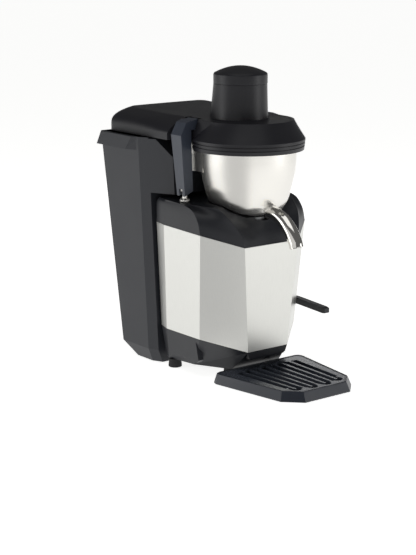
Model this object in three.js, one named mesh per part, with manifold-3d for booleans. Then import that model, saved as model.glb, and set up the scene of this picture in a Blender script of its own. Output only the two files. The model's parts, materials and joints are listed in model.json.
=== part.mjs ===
// Centrifugal juicer with a rear pulp bin, millimetres, +Z up.
// The front (juice spout and drip tray) faces -Y, the pulp bin stands at +Y, and +X is the
// right-hand side for someone facing the front. The motor, basket and bowl turn about one
// vertical axis at x = 0, y = 0 of the machine group, which the last lines move so that the
// origin is the middle of the footprint.
import * as THREE from "three";
import { mergeVertices } from "three/addons/utils/BufferGeometryUtils.js";
import Module from "manifold-3d";

const wasm = await Module();
wasm.setup();

// ---- Driving dimensions -------------------------------------------------------------------
const GAP = 0.3; // between pieces that touch
const ROUND = 28; // sides of a full circle
const SMALL_ROUND = 16; // and of a small one
const BOWL_ROUND = 40; // and of the bowl and the lid's rim

const FOOT_HEIGHT = 16.7;
const FOOT_RADIUS = 13;
const BODY_HALF_WIDTH = 127; // steel body at its top edge
const BODY_LOW_HALF_WIDTH = 116.5; // and at its bottom edge
const BODY_FRONT = -71; // front face, top edge
const BODY_REAR = 130; // rear wall
const PANEL_LOW = 79.5; // bottom edge of the side panels
const PANEL_HEIGHT = 203; // of the side panels
const PANEL_WALL = 1.2;
const FRONT_DROP = 24; // the front panel hangs this much lower than the sides
const COVER_HEIGHT = 49; // black top cover above the side panels
const COVER_WALL = 4;
const BASE_WALL = 3.5;

const BOWL_SINK = 27; // the bowl stands this far down in the top cover
const BOWL_HEIGHT = 135;
const BOWL_RADIUS = 89.7; // below the lid
const BOWL_WALL = 1.5;
const SPOUT_RADIUS = 13;
const SPOUT_WALL = 1.5;

const LID_RADIUS = 106.3;
const LID_MARGIN = 2; // the lid over the bin is this much narrower than the body, each side
const LID_REAR = 276;
const LID_WALL = 3;
const LID_HEIGHT = 38.4; // skirt to the front edge of the plateau
const LID_RISE = 7; // the plateau climbs this much to the rear
const TUBE_OFFSET = 23.8; // feed tube behind the motor axis
const TUBE_RADIUS = 50;
const TUBE_BORE = 40;
const TUBE_HEIGHT = 64;
const CAP_BAND = 18.4;
const CAP_DOME = 13.3;
const PUSHER_CLEARANCE = 1.2;

const SHAFT_RADIUS = 8;
const MOTOR_RADIUS = 55;
const BASKET_FLOOR_RADIUS = 64;
const BASKET_RIM_RADIUS = 82;
const BASKET_HEIGHT = 62;
const SIEVE_SLOTS = 16;
const GRATER_TEETH = 20;

const BIN_OVERHANG = 13; // the bin is this much wider than the body, each side
const BIN_DEPTH = 150; // from the wall behind the body to the rear, at the rim
const BIN_RISE = 5; // bin's rim above the bowl's
const BIN_WALL = 3;
const BIN_LIP = 10;

const TRAY_HALF_WIDTH = 103.6;
const TRAY_REAR = -32;
const TRAY_FRONT = -223.4;
const TRAY_HEIGHT = 20.3;
const TRAY_WALL = 3;
const RIB_PITCH = 16.5; // at the front of the grid
const RIB_WIDTH = 4.6;

const ROD_INSET = 22; // clamp rods inside the body's half width
const ROD_Y = 57;
const ROD_RADIUS = 5;
const CRANK_LENGTH = 20;
const CRANK_REST = THREE.MathUtils.degToRad(-30);
const CROSS_SHAFT_Z = 118;
const CROSS_SHAFT_RADIUS = 7;
const CRANK_PIN_RADIUS = 4.5;
const LEVER_THICKNESS = 12;
const LEVER_REACH = 154;
const ARM_PIN_RADIUS = 3;

// ---- Levels and places that follow from them -------------------------------------------------
const PANEL_TOP = PANEL_LOW + PANEL_HEIGHT + 2; // rear end of the side panels' top edge
const DECK = PANEL_TOP + COVER_HEIGHT - 1.5; // flat top of the cover
const BOWL_BASE = DECK - BOWL_SINK;
const BOWL_RIM = BOWL_BASE + BOWL_HEIGHT;
const BIN_TOP = BOWL_RIM + BIN_RISE;
const MOUNT_PLATE = PANEL_TOP - 34;
const BASKET_BASE = BOWL_BASE + 34.5;
const SEAL_TOP = BOWL_RIM + 3.4;
const LID_SKIRT = BIN_TOP + 0.6; // underside of the lid over the bin
const LID_RIM = BOWL_RIM - 11.3; // underside of the lid around the bowl
const LID_TOP = LID_SKIRT + LID_HEIGHT;
const TUBE_TOP = LID_TOP + TUBE_HEIGHT;
const LID_HALF_WIDTH = BODY_HALF_WIDTH - LID_MARGIN;
const BIN_HALF_WIDTH = BODY_HALF_WIDTH + BIN_OVERHANG;
const ROD_X = BODY_HALF_WIDTH - ROD_INSET;
const CHASSIS = FOOT_HEIGHT + GAP + BASE_WALL + GAP;
const CROSS_SHAFT_Y = ROD_Y + CRANK_LENGTH;
const ARM_PIVOT_Z = DECK + 22;
const LEDGE = LID_TOP - 18; // the clamp arms press here

const MATERIALS = {
  blackPlastic: { color: 0x2b2c30, roughness: 0.55, metalness: 0 },
  lidPlastic: { color: 0x26262b, roughness: 0.5, metalness: 0 },
  binPlastic: { color: 0x43454b, roughness: 0.5, metalness: 0 },
  trayPlastic: { color: 0x3a414c, roughness: 0.45, metalness: 0 },
  brushedSteel: { color: 0xcfcfca, roughness: 0.35, metalness: 1 },
  polishedSteel: { color: 0xdedcd6, roughness: 0.1, metalness: 1 },
  darkSteel: { color: 0x8b8d90, roughness: 0.4, metalness: 1 },
  castAluminium: { color: 0xa9abad, roughness: 0.6, metalness: 1 },
  rubber: { color: 0x1a1a1b, roughness: 0.9, metalness: 0 },
  foodRubber: { color: 0xd6d3cb, roughness: 0.8, metalness: 0 },
  copper: { color: 0xa8693c, roughness: 0.4, metalness: 1 },
  circuitBoard: { color: 0x2f5a3a, roughness: 0.6, metalness: 0 },
  greenButton: { color: 0x2f8a4a, roughness: 0.4, metalness: 0 },
  redButton: { color: 0xa92d2a, roughness: 0.4, metalness: 0 },
};

const machine = new THREE.Group();

// ---- Making solids -----------------------------------------------------------------------------
const point = (x, y, z = 0) => new THREE.Vector3(x, y, z);

// A closed geometry becomes a solid: shared vertices merged, slivers dropped, faces outward.
function solid(geometry) {
  const bare = geometry.clone();
  bare.deleteAttribute("normal");
  bare.deleteAttribute("uv");
  const merged = mergeVertices(bare, 1e-4);
  const spots = merged.getAttribute("position");
  const corner = (i) => new THREE.Vector3().fromBufferAttribute(spots, i);
  let faces = [];
  let volume = 0;
  for (let i = 0; i < merged.index.count; i += 3) {
    const [a, b, c] = [0, 1, 2].map((step) => merged.index.getX(i + step));
    if (a === b || b === c || a === c) continue;
    faces.push([a, b, c]);
    volume += corner(a).dot(corner(b).cross(corner(c)));
  }
  if (volume < 0) faces = faces.map(([a, b, c]) => [a, c, b]);
  const mesh = new wasm.Mesh({
    numProp: 3,
    vertProperties: new Float32Array(spots.array),
    triVerts: new Uint32Array(faces.flat()),
  });
  return new wasm.Manifold(mesh);
}

function geometryOf(body) {
  const mesh = body.getMesh();
  const geometry = new THREE.BufferGeometry();
  geometry.setAttribute("position", new THREE.BufferAttribute(mesh.vertProperties, 3));
  geometry.setIndex(new THREE.BufferAttribute(mesh.triVerts, 1));
  return geometry;
}

// The same piece on the other side of the machine.
const mirrored = (body) => solid(geometryOf(body).scale(-1, 1, 1));

// Area centre of a ring of points, at their mean height.
function ringCentre(ring) {
  let area = 0;
  const centre = point(0, 0, 0);
  ring.forEach((p, i) => {
    const q = ring[(i + 1) % ring.length];
    const turn = p.x * q.y - q.x * p.y;
    area += turn * 3;
    centre.x += (p.x + q.x) * turn;
    centre.y += (p.y + q.y) * turn;
    centre.z += p.z / ring.length;
  });
  return point(centre.x / area, centre.y / area, centre.z);
}

// A solid through rings of equally many points, counter-clockwise from above, lowest first.
function loft(rings) {
  const count = rings[0].length;
  const last = (rings.length - 1) * count;
  const points = [...rings.flat(), ringCentre(rings[0]), ringCentre(rings.at(-1))];
  const index = [];
  for (let i = 0; i < count; i += 1) {
    const next = (i + 1) % count;
    for (let level = 0; level < last; level += count) {
      index.push(level + i, level + next, level + next + count);
      index.push(level + i, level + next + count, level + i + count);
    }
    index.push(next, i, points.length - 2);
    index.push(last + i, last + next, points.length - 1);
  }
  const geometry = new THREE.BufferGeometry().setFromPoints(points);
  geometry.setIndex(index);
  return solid(geometry);
}

const raise = (outline, z) => outline.map((p) => point(p.x, p.y, z));
const prism = (outline, low, high) => loft([raise(outline, low), raise(outline, high)]);

// A right-hand half outline, listed from front to rear, becomes the whole outline.
function bothSides(half) {
  const left = half.filter((p) => p.x > 1e-6).reverse();
  return [...half, ...left.map((p) => point(-p.x, p.y, p.z))];
}

// Every side of a convex outline moves inwards; heights stay.
function inset(outline, distance) {
  const count = outline.length;
  return outline.map((p, i) => {
    const before = outline[(i + count - 1) % count];
    const after = outline[(i + 1) % count];
    const a = new THREE.Vector2(p.x - before.x, p.y - before.y).normalize();
    const b = new THREE.Vector2(after.x - p.x, after.y - p.y).normalize();
    const reach = distance / (1 + a.dot(b));
    return point(p.x - (a.y + b.y) * reach, p.y + (a.x + b.x) * reach, p.z);
  });
}

function circle(radius, x = 0, y = 0, sides = ROUND) {
  const angles = Array.from({ length: sides }, (_, i) => (i / sides) * 2 * Math.PI);
  return angles.map((angle) => point(x + radius * Math.cos(angle), y + radius * Math.sin(angle)));
}

// A profile of [radius, height] pairs turned about a vertical axis.
function turned(profile, x = 0, y = 0, sides = ROUND) {
  const points = profile.map(([radius, height]) => new THREE.Vector2(radius, height));
  const geometry = new THREE.LatheGeometry(points, sides);
  geometry.rotateX(Math.PI / 2);
  geometry.translate(x, y, 0);
  return solid(geometry);
}

const drum = (radius, low, high, x = 0, y = 0, sides = ROUND) =>
  prism(circle(radius, x, y, sides), low, high);

const ring = (outer, inner, low, high, x = 0, y = 0, sides = ROUND) =>
  turned([[inner, low], [outer, low], [outer, high], [inner, high], [inner, low]], x, y, sides);

function block(low, high) {
  const size = high.map((value, i) => value - low[i]);
  const geometry = new THREE.BoxGeometry(...size);
  geometry.translate(...low.map((value, i) => value + size[i] / 2));
  return solid(geometry);
}

// A round bar between two points along one of the horizontal axes.
function bar(radius, from, to, sides = SMALL_ROUND) {
  const axis = new THREE.Vector3().subVectors(to, from);
  const geometry = new THREE.CylinderGeometry(radius, radius, axis.length(), sides);
  const up = point(0, 1, 0);
  geometry.applyQuaternion(new THREE.Quaternion().setFromUnitVectors(up, axis.clone().normalize()));
  geometry.translate(...point(0, 0, 0).addVectors(from, to).multiplyScalar(0.5).toArray());
  return solid(geometry);
}

function add(name, body, look) {
  const material = new THREE.MeshStandardMaterial(MATERIALS[look]);
  const mesh = new THREE.Mesh(geometryOf(body), material);
  mesh.name = name;
  machine.add(mesh);
}

function addPair(name, right, look) {
  add(`${name}_right`, right, look);
  add(`${name}_left`, mirrored(right), look);
}

// ---- Body outline ------------------------------------------------------------------------------
// Four corners on each side: front crease, side crease, rear crease and rear chamfer. Each runs
// in a straight line from the panels' bottom edge to their top edge.
const FRONT_HALF_WIDTH = BODY_HALF_WIDTH * 0.51;
const BODY_EDGES = [
  [point(FRONT_HALF_WIDTH - 16.8, BODY_FRONT + 9.6, PANEL_LOW - FRONT_DROP),
    point(FRONT_HALF_WIDTH, BODY_FRONT, PANEL_TOP - FRONT_DROP - 2)],
  [point(BODY_LOW_HALF_WIDTH, BODY_FRONT + 69, PANEL_LOW),
    point(BODY_HALF_WIDTH, BODY_FRONT + 53, PANEL_TOP - 3.5)],
  [point(BODY_LOW_HALF_WIDTH, BODY_REAR - 29, PANEL_LOW),
    point(BODY_HALF_WIDTH, BODY_REAR - 36, PANEL_TOP)],
  [point(BODY_LOW_HALF_WIDTH - 9.5, BODY_REAR + 1, PANEL_LOW),
    point(BODY_HALF_WIDTH - 8, BODY_REAR - 2, PANEL_TOP)],
];

// The outline a share of the way up the panels, and the level outline at one height.
const bodySection = (share) => bothSides(BODY_EDGES.map(([low, high]) => low.clone().lerp(high, share)));
const bodyLevel = (z) =>
  bothSides(BODY_EDGES.map(([low, high]) => low.clone().lerp(high, (z - low.z) / (high.z - low.z))));
const lifted = (outline, height) => outline.map((p) => point(p.x, p.y, p.z + height));

// ---- Base --------------------------------------------------------------------------------------
const BASE_FLOOR = FOOT_HEIGHT + GAP;
const BASE_SOLE = bothSides([
  point(FRONT_HALF_WIDTH - 7, BODY_FRONT + 45, BASE_FLOOR),
  point(BODY_LOW_HALF_WIDTH - 22.5, BODY_FRONT + 115, BASE_FLOOR),
  point(BODY_LOW_HALF_WIDTH - 13, BODY_REAR - 18, BASE_FLOOR),
  point(BODY_LOW_HALF_WIDTH - 17, BODY_REAR - 6, BASE_FLOOR),
]);
const FEET = [
  ["rear", BODY_LOW_HALF_WIDTH - 22, BODY_REAR - 26],
  ["front", FRONT_HALF_WIDTH - 17, BODY_FRONT + 63],
];
const GLAND = point(40, BODY_REAR - 30);

function baseCover() {
  const top = lifted(bodySection(0), -GAP);
  let shell = loft([BASE_SOLE, top]);
  const fasciaTop = top[0];
  const fascia = (depth, z, narrow) => bothSides([
    point(0, fasciaTop.y + depth, z),
    point(fasciaTop.x - narrow, fasciaTop.y + depth, z),
    point(fasciaTop.x - narrow, fasciaTop.y + 15, z),
    point(0, fasciaTop.y + 15, z),
  ]);
  const chin = loft([fascia(2, 40, 8), fascia(1, 44, 3.5), fascia(0, fasciaTop.z, 0)]);
  const padTop = BODY_LOW_HALF_WIDTH - 0.1;
  const pad = (x, z, trim) => [
    point(x - 12, BODY_FRONT + 83 + trim, z), point(x, BODY_FRONT + 83 + trim, z),
    point(x, BODY_REAR - 27 - trim, z), point(x - 12, BODY_REAR - 27 - trim, z),
  ];
  const cheek = loft([pad(padTop - 9.5, 28, 7), pad(padTop - 8.2, 34, 0), pad(padTop, PANEL_LOW - GAP, 0)]);
  shell = shell.add(chin).add(cheek).add(mirrored(cheek));
  const hollow = loft([
    raise(inset(BASE_SOLE, BASE_WALL), BASE_FLOOR + BASE_WALL),
    inset(lifted(top, 0.5), BASE_WALL),
  ]);
  shell = shell.subtract(hollow);
  for (const [, x, y] of FEET) {
    for (const side of [-1, 1]) {
      shell = shell.subtract(drum(2.6, BASE_FLOOR - 1, BASE_FLOOR + BASE_WALL + 1, side * x, y, 16));
    }
  }
  const glandHole = drum(7.6, BASE_FLOOR - 1, BASE_FLOOR + BASE_WALL + 1, GLAND.x, GLAND.y, 24);
  return shell.subtract(glandHole);
}
add("base_cover", baseCover(), "blackPlastic");

function chassisPlate() {
  const outline = inset(BASE_SOLE, BASE_WALL + 2.5);
  let plate = prism(outline, CHASSIS, CHASSIS + 3);
  for (const [, x, y] of FEET) {
    for (const side of [-1, 1]) {
      plate = plate.subtract(drum(2.6, CHASSIS - 1, CHASSIS + 4, side * x, y, 16));
    }
  }
  return plate.subtract(drum(10, CHASSIS - 1, CHASSIS + 4, GLAND.x, GLAND.y, 24));
}
add("chassis_plate", chassisPlate(), "darkSteel");

for (const [place, x, y] of FEET) {
  const foot = [
    [5.5, 0], [FOOT_RADIUS, 0], [FOOT_RADIUS, 4], [FOOT_RADIUS - 1.5, FOOT_HEIGHT],
    [2.6, FOOT_HEIGHT], [2.6, 8], [5.5, 8], [5.5, 0],
  ];
  const screw = [
    [0, 4.5], [4.6, 4.5], [4.6, 7.6], [2.2, 7.6], [2.2, CHASSIS + 6], [0, CHASSIS + 6],
  ];
  addPair(`foot_${place}`, turned(foot, x, y, SMALL_ROUND), "rubber");
  addPair(`foot_screw_${place}`, turned(screw, x, y, 12), "darkSteel");
}

const glandProfile = [
  [4, 8], [7, 8], [9.5, BASE_FLOOR - 4], [9.5, BASE_FLOOR - GAP], [7.2, BASE_FLOOR - GAP],
  [7.2, BASE_FLOOR + BASE_WALL + 5], [4, BASE_FLOOR + BASE_WALL + 5], [4, 8],
];
add("cable_gland", turned(glandProfile, GLAND.x, GLAND.y, SMALL_ROUND), "rubber");

// ---- Steel body --------------------------------------------------------------------------------
const WRAP_FLANGE = BODY_LOW_HALF_WIDTH - 18; // half width of the opening in the back
const BUTTON_PLATE = { y: BODY_REAR - 50, z: PANEL_TOP - 64, halfWidth: 17, halfHeight: 30 };

function bodyShell() {
  const outer = loft([bodySection(0.001), bodySection(0.999)]);
  const inner = loft([bodySection(-0.05), bodySection(1.05)].map((section) => inset(section, PANEL_WALL)));
  return outer.subtract(inner);
}
const backCut = (halfWidth) =>
  block([-halfWidth, BODY_REAR - 12, PANEL_LOW - 20], [halfWidth, BODY_REAR + 12, PANEL_TOP + 20]);

function bodyWrap() {
  const outside = BODY_HALF_WIDTH + 10;
  const shaftHole = bar(
    CROSS_SHAFT_RADIUS + 1.5,
    point(BODY_LOW_HALF_WIDTH - 10, CROSS_SHAFT_Y, CROSS_SHAFT_Z),
    point(outside, CROSS_SHAFT_Y, CROSS_SHAFT_Z),
  );
  const { y, z, halfWidth, halfHeight } = BUTTON_PLATE;
  const window = block([BODY_LOW_HALF_WIDTH, y - halfWidth + 3, z - halfHeight + 3],
    [outside, y + halfWidth - 3, z + halfHeight - 3]);
  return bodyShell().subtract(backCut(WRAP_FLANGE)).subtract(shaftHole).subtract(window);
}
add("body_wrap", bodyWrap(), "brushedSteel");

function rearPanel() {
  let panel = bodyShell().intersect(backCut(WRAP_FLANGE - GAP));
  const [slotHeight, slotPitch, slotReach] = [4, 12, 26];
  for (let row = 0; row < 6; row += 1) {
    const z = PANEL_LOW + 60 + row * slotPitch;
    for (const side of [-1, 1]) {
      const middle = side * 42;
      panel = panel.subtract(block([middle - slotReach, BODY_REAR - 12, z],
        [middle + slotReach, BODY_REAR + 12, z + slotHeight]));
    }
  }
  return panel;
}
add("rear_panel", rearPanel(), "darkSteel");

// ---- Bowl profile, which the cover and the lid follow --------------------------------------------
const at = (radius, height) => [radius * (BOWL_RADIUS / 89.7), BOWL_BASE + height];
const BOWL_SIDE = [
  at(45, 3), at(60.4, 8.4), at(67.3, 15.5), at(73.9, 26),
  at(80.9, 48), at(86.5, 74), at(89.2, 96), at(90, 122),
];

// The space that the bowl takes, a given distance larger all round.
function bowlSpace(grow) {
  const side = BOWL_SIDE.map(([radius, z]) => [radius + grow, z - grow * 0.4]);
  const low = BOWL_BASE - grow;
  return turned([[0, low], [BOWL_SIDE[0][0] - 4 + grow, low], ...side, [side.at(-1)[0], BOWL_RIM + 9],
    [0, BOWL_RIM + 9]], 0, 0, BOWL_ROUND);
}

// ---- Top cover ---------------------------------------------------------------------------------
const COVER_STEPS = 6;
const [FRONT_TOP, SIDE_TOP, REAR_TOP, CHAMFER_TOP] = BODY_EDGES.map(([, high]) => high);
const from = (start, x, y, z) => point(start.x + x, start.y + y, start.z + z);

// Lines that run up the cover from the panels' top edge: the middle of the front scoop, a line
// beside it, the ridge of the fender, and the curved front edge of the flat cheek.
const COVER_LINES = [
  [point(0, FRONT_TOP.y, FRONT_TOP.z),
   point(0, BODY_FRONT + 10, DECK - 52), point(0, BODY_FRONT + 25, DECK - 25)],
  [point(33, FRONT_TOP.y, FRONT_TOP.z),
   point(36, BODY_FRONT + 9, DECK - 52), point(40, BODY_FRONT + 27, DECK - 24)],
  [FRONT_TOP, from(FRONT_TOP, 5.4, 5, 24), from(FRONT_TOP, 17, 22, DECK - FRONT_TOP.z - 23),
    from(FRONT_TOP, 25, 48, DECK - FRONT_TOP.z - 4)],
  [SIDE_TOP, from(SIDE_TOP, 0, 7, 23), from(SIDE_TOP, -0.5, 24, DECK - SIDE_TOP.z - 9),
    from(SIDE_TOP, -1, 50, DECK - SIDE_TOP.z - 2), from(SIDE_TOP, -1, 78, DECK - SIDE_TOP.z)],
  [REAR_TOP, from(REAR_TOP, -1, 0, DECK - REAR_TOP.z - 6), from(REAR_TOP, -4, -1, DECK - REAR_TOP.z)],
  [CHAMFER_TOP, from(CHAMFER_TOP, -1, -1, DECK - CHAMFER_TOP.z - 6),
    from(CHAMFER_TOP, -4, -4, DECK - CHAMFER_TOP.z)],
  [point(0, CHAMFER_TOP.y, CHAMFER_TOP.z),
   point(0, CHAMFER_TOP.y - 1, DECK - 6), point(0, CHAMFER_TOP.y - 4, DECK)],
].map((line) => new THREE.CatmullRomCurve3(line, false, "centripetal"));

function coverRing(share) {
  const spots = COVER_LINES.map((line) => line.getPoint(share));
  const [ridge, cheek] = [spots[2], spots[3]];
  const fender = [1 / 3, 2 / 3].map((part) => ridge.clone().lerp(cheek, part));
  return bothSides([...spots.slice(0, 3), ...fender, ...spots.slice(3)]);
}

function topCover() {
  const shares = Array.from({ length: COVER_STEPS + 1 }, (_, i) => i / COVER_STEPS);
  const rings = shares.map(coverRing).map((outline, i) => lifted(outline, i === 0 ? GAP : 0));
  const insideRing = (outline) => {
    const centre = ringCentre(outline);
    return outline.map((p) => {
      const reach = Math.hypot(p.x - centre.x, p.y - centre.y);
      const scale = (reach - COVER_WALL) / reach;
      return point(centre.x + (p.x - centre.x) * scale,
        centre.y + (p.y - centre.y) * scale, p.z - COVER_WALL);
    });
  };
  const inside = rings.map(insideRing);
  const below = lifted(inside[0], -20);
  let cover = loft(rings).subtract(loft([below, ...inside])).subtract(bowlSpace(1.6));
  for (const side of [-1, 1]) {
    cover = cover.subtract(drum(8, DECK - 20, DECK + 5, side * ROD_X, ROD_Y, 24));
  }
  return cover;
}
add("top_cover", topCover(), "blackPlastic");

// ---- Motor ---------------------------------------------------------------------------------------
const MOTOR_TOP = MOUNT_PLATE - GAP;
const MOTOR_LOW = 104;
const STATOR_LOW = MOTOR_LOW + 26;
const STATOR_TOP = MOTOR_TOP - 30;

function mountPlate() {
  let plate = prism(inset(bodyLevel(MOUNT_PLATE + 4), PANEL_WALL + 2), MOUNT_PLATE, MOUNT_PLATE + 4);
  plate = plate.subtract(drum(30, MOUNT_PLATE - 1, MOUNT_PLATE + 5));
  for (const side of [-1, 1]) {
    plate = plate.subtract(drum(ROD_RADIUS + 2, MOUNT_PLATE - 1, MOUNT_PLATE + 5, side * ROD_X, ROD_Y, 20));
  }
  return plate;
}
add("motor_mount_plate", mountPlate(), "darkSteel");

const motorCasing = ring(MOTOR_RADIUS, MOTOR_RADIUS - 3, MOTOR_LOW, MOTOR_TOP);
add("motor_casing", motorCasing, "castAluminium");
add("stator_core", ring(MOTOR_RADIUS - 3 - GAP, 31, STATOR_LOW, STATOR_TOP), "darkSteel");
add("stator_winding", ring(46, 33, STATOR_TOP + GAP, STATOR_TOP + 16), "copper");

const lowerBell = [
  [SHAFT_RADIUS + 2, MOTOR_LOW - 12], [MOTOR_RADIUS - 8, MOTOR_LOW - 12], [MOTOR_RADIUS, MOTOR_LOW - 7],
  [MOTOR_RADIUS, MOTOR_LOW - GAP], [18, MOTOR_LOW - GAP],
  [18, MOTOR_LOW - 9], [SHAFT_RADIUS + 2, MOTOR_LOW - 9],
  [SHAFT_RADIUS + 2, MOTOR_LOW - 12],
];
add("motor_end_bell", turned(lowerBell), "castAluminium");

const PEDESTAL_TOP = BOWL_BASE - 0.5;
const pedestal = [
  [33, MOUNT_PLATE + 4 + GAP], [56, MOUNT_PLATE + 4 + GAP], [56, MOUNT_PLATE + 9], [37, MOUNT_PLATE + 14],
  [37, PEDESTAL_TOP], [13.9, PEDESTAL_TOP], [13.9, PEDESTAL_TOP - 6], [18, PEDESTAL_TOP - 6],
  [18, PEDESTAL_TOP - 28], [22, PEDESTAL_TOP - 28], [22, PEDESTAL_TOP - 10], [33, PEDESTAL_TOP - 10],
  [33, MOUNT_PLATE + 4 + GAP],
];
add("bowl_pedestal", turned(pedestal), "castAluminium");
add("lower_bearing", ring(17.7, SHAFT_RADIUS + GAP, MOTOR_LOW - 8.7, MOTOR_LOW - 0.6, 0, 0, SMALL_ROUND),
  "polishedSteel");
add("upper_bearing", ring(17.7, SHAFT_RADIUS + GAP, PEDESTAL_TOP - 26, PEDESTAL_TOP - 14, 0, 0, SMALL_ROUND),
  "polishedSteel");
add("shaft_seal", ring(13.6, SHAFT_RADIUS + 0.4, PEDESTAL_TOP - 5.5, PEDESTAL_TOP - 0.5, 0, 0, SMALL_ROUND),
  "rubber");

// ---- Rotor: shaft, motor core, fan, hub, basket, grater disc and nut --------------------------------
const STUD_RADIUS = 6;
const shaft = [
  [0, MOTOR_LOW - 20], [SHAFT_RADIUS, MOTOR_LOW - 20], [SHAFT_RADIUS, BASKET_BASE - 8],
  [STUD_RADIUS, BASKET_BASE - 8], [STUD_RADIUS, BASKET_BASE + 18], [0, BASKET_BASE + 18],
];
add("motor_shaft", turned(shaft, 0, 0, SMALL_ROUND), "polishedSteel");
add("rotor_core", ring(30, SHAFT_RADIUS + GAP, STATOR_LOW, STATOR_TOP), "darkSteel");

function coolingFan() {
  const low = MOTOR_LOW + 4;
  let fan = ring(13, SHAFT_RADIUS + GAP, low, low + 18).add(ring(46, 12.5, low, low + 2));
  for (let i = 0; i < 8; i += 1) {
    const angle = (i / 8) * 2 * Math.PI;
    const blade = new THREE.BoxGeometry(34, 2, 15);
    blade.translate(28, 0, low + 8.5);
    blade.rotateZ(angle);
    fan = fan.add(solid(blade));
  }
  return fan;
}
add("cooling_fan", coolingFan(), "blackPlastic");

const driveHub = [
  [SHAFT_RADIUS + GAP, BOWL_BASE + 5], [11.6, BOWL_BASE + 5], [11.6, BOWL_BASE + 22], [17, BOWL_BASE + 22],
  [17, BOWL_BASE + 6], [20.5, BOWL_BASE + 6], [20.5, BASKET_BASE - 8], [28, BASKET_BASE - 6],
  [28, BASKET_BASE - GAP], [SHAFT_RADIUS + GAP, BASKET_BASE - GAP], [SHAFT_RADIUS + GAP, BOWL_BASE + 5],
];
add("drive_hub", turned(driveHub), "castAluminium");

function filterBasket() {
  const top = BASKET_BASE + BASKET_HEIGHT;
  const [floor, rim, skin] = [BASKET_FLOOR_RADIUS, BASKET_RIM_RADIUS, 1.5];
  const profile = [
    [STUD_RADIUS + GAP, BASKET_BASE], [floor, BASKET_BASE], [rim, top - 4],
    [rim + 2, top - 4], [rim + 2, top],
    [rim - skin, top], [floor - skin, BASKET_BASE + skin], [STUD_RADIUS + GAP, BASKET_BASE + skin],
    [STUD_RADIUS + GAP, BASKET_BASE],
  ];
  let basket = turned(profile, 0, 0, BOWL_ROUND);
  for (let i = 0; i < SIEVE_SLOTS; i += 1) {
    const slot = new THREE.BoxGeometry(30, 3, 40);
    slot.translate(rim - 6, 0, BASKET_BASE + 32);
    slot.rotateZ(((i + 0.5) / SIEVE_SLOTS) * 2 * Math.PI);
    basket = basket.subtract(solid(slot));
  }
  return basket;
}
add("filter_basket", filterBasket(), "polishedSteel");

const DISC = BASKET_BASE + 1.5 + GAP;
function graterDisc() {
  let disc = ring(BASKET_FLOOR_RADIUS - 3, STUD_RADIUS + GAP, DISC, DISC + 2, 0, 0, BOWL_ROUND);
  for (let i = 0; i < GRATER_TEETH; i += 1) {
    const tooth = new THREE.ConeGeometry(2.2, 3.4, 4);
    tooth.rotateX(Math.PI / 2);
    tooth.translate(24 + (i % 4) * 10, 0, DISC + 3.4);
    tooth.rotateZ((i / GRATER_TEETH) * 2 * Math.PI);
    disc = disc.add(solid(tooth));
  }
  return disc;
}
add("grater_disc", graterDisc(), "polishedSteel");

const basketNut = [
  [0, BASKET_BASE + 21], [9, BASKET_BASE + 21], [14.5, BASKET_BASE + 17], [14.5, DISC + 2 + GAP],
  [STUD_RADIUS + GAP, DISC + 2 + GAP], [STUD_RADIUS + GAP, BASKET_BASE + 18.6], [0, BASKET_BASE + 18.6],
];
add("basket_nut", turned(basketNut, 0, 0, 12), "blackPlastic");

// ---- Bowl and spout ------------------------------------------------------------------------------
const OUTLET_HALF_WIDTH = BOWL_RADIUS - 6;
const OUTLET_FLOOR = BASKET_BASE + BASKET_HEIGHT - 14;
const OUTLET_END = 88;

// The spout leaves the bowl low at the front, runs forward and bends down to its cut end.
function spoutPath(inward, outward) {
  const z = BOWL_BASE + 12.5;
  const start = -BOWL_SIDE[2][0];
  return new THREE.CatmullRomCurve3([
    point(0, start + inward, z + 1), point(0, start - 16, z - 2), point(0, start - 37, z - 11),
    point(0, start - 57, z - 28), point(0, start - 70, z - 47), point(0, start - 73, z - 55 - outward),
  ]);
}

function pipe(radius, inward, outward = 0) {
  const section = new THREE.Shape();
  section.absarc(0, 0, radius, 0, 2 * Math.PI);
  const settings = {
    steps: 10, curveSegments: 8, bevelEnabled: false, extrudePath: spoutPath(inward, outward),
  };
  return solid(new THREE.ExtrudeGeometry(section, settings));
}

function bowl() {
  const side = BOWL_SIDE.map(([radius, z]) => [radius, z]);
  const inner = side.map(([radius, z]) => [radius - BOWL_WALL, z + 0.6]).reverse();
  const [rim, lip] = [side.at(-1)[0], side.at(-1)[0] + 5];
  const foot = side[0][0] - 4;
  const shell = turned([
    [13, BOWL_BASE], [foot, BOWL_BASE], ...side, [rim, BOWL_RIM - 2], [lip, BOWL_RIM - 2], [lip, BOWL_RIM],
    [rim - BOWL_WALL, BOWL_RIM], ...inner, [foot - 1, BOWL_BASE + BOWL_WALL], [14.5, BOWL_BASE + BOWL_WALL],
    [14.5, BOWL_BASE + 17], [13, BOWL_BASE + 17], [13, BOWL_BASE],
  ], 0, 0, BOWL_ROUND);
  const [low, high] = [OUTLET_FLOOR, BOWL_RIM];
  const chute = block([-OUTLET_HALF_WIDTH, 30, low], [OUTLET_HALF_WIDTH, OUTLET_END, high]);
  const mouth = block([-OUTLET_HALF_WIDTH + BOWL_WALL, 20, low + BOWL_WALL],
    [OUTLET_HALF_WIDTH - BOWL_WALL, OUTLET_END + 20, high + 5]);
  const interior = turned([[0, BOWL_BASE + 20], ...inner.toReversed().filter(([, z]) => z > BOWL_BASE + 20),
    [rim - BOWL_WALL, BOWL_RIM + 5], [0, BOWL_RIM + 5]], 0, 0, BOWL_ROUND);
  const rear = block([-120, OUTLET_END, low - 40], [120, OUTLET_END + 40, high + 5]);
  return shell.add(chute.subtract(interior)).subtract(mouth).subtract(rear)
    .subtract(pipe(SPOUT_RADIUS - SPOUT_WALL, 14, 2));
}
add("bowl", bowl(), "polishedSteel");

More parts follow.
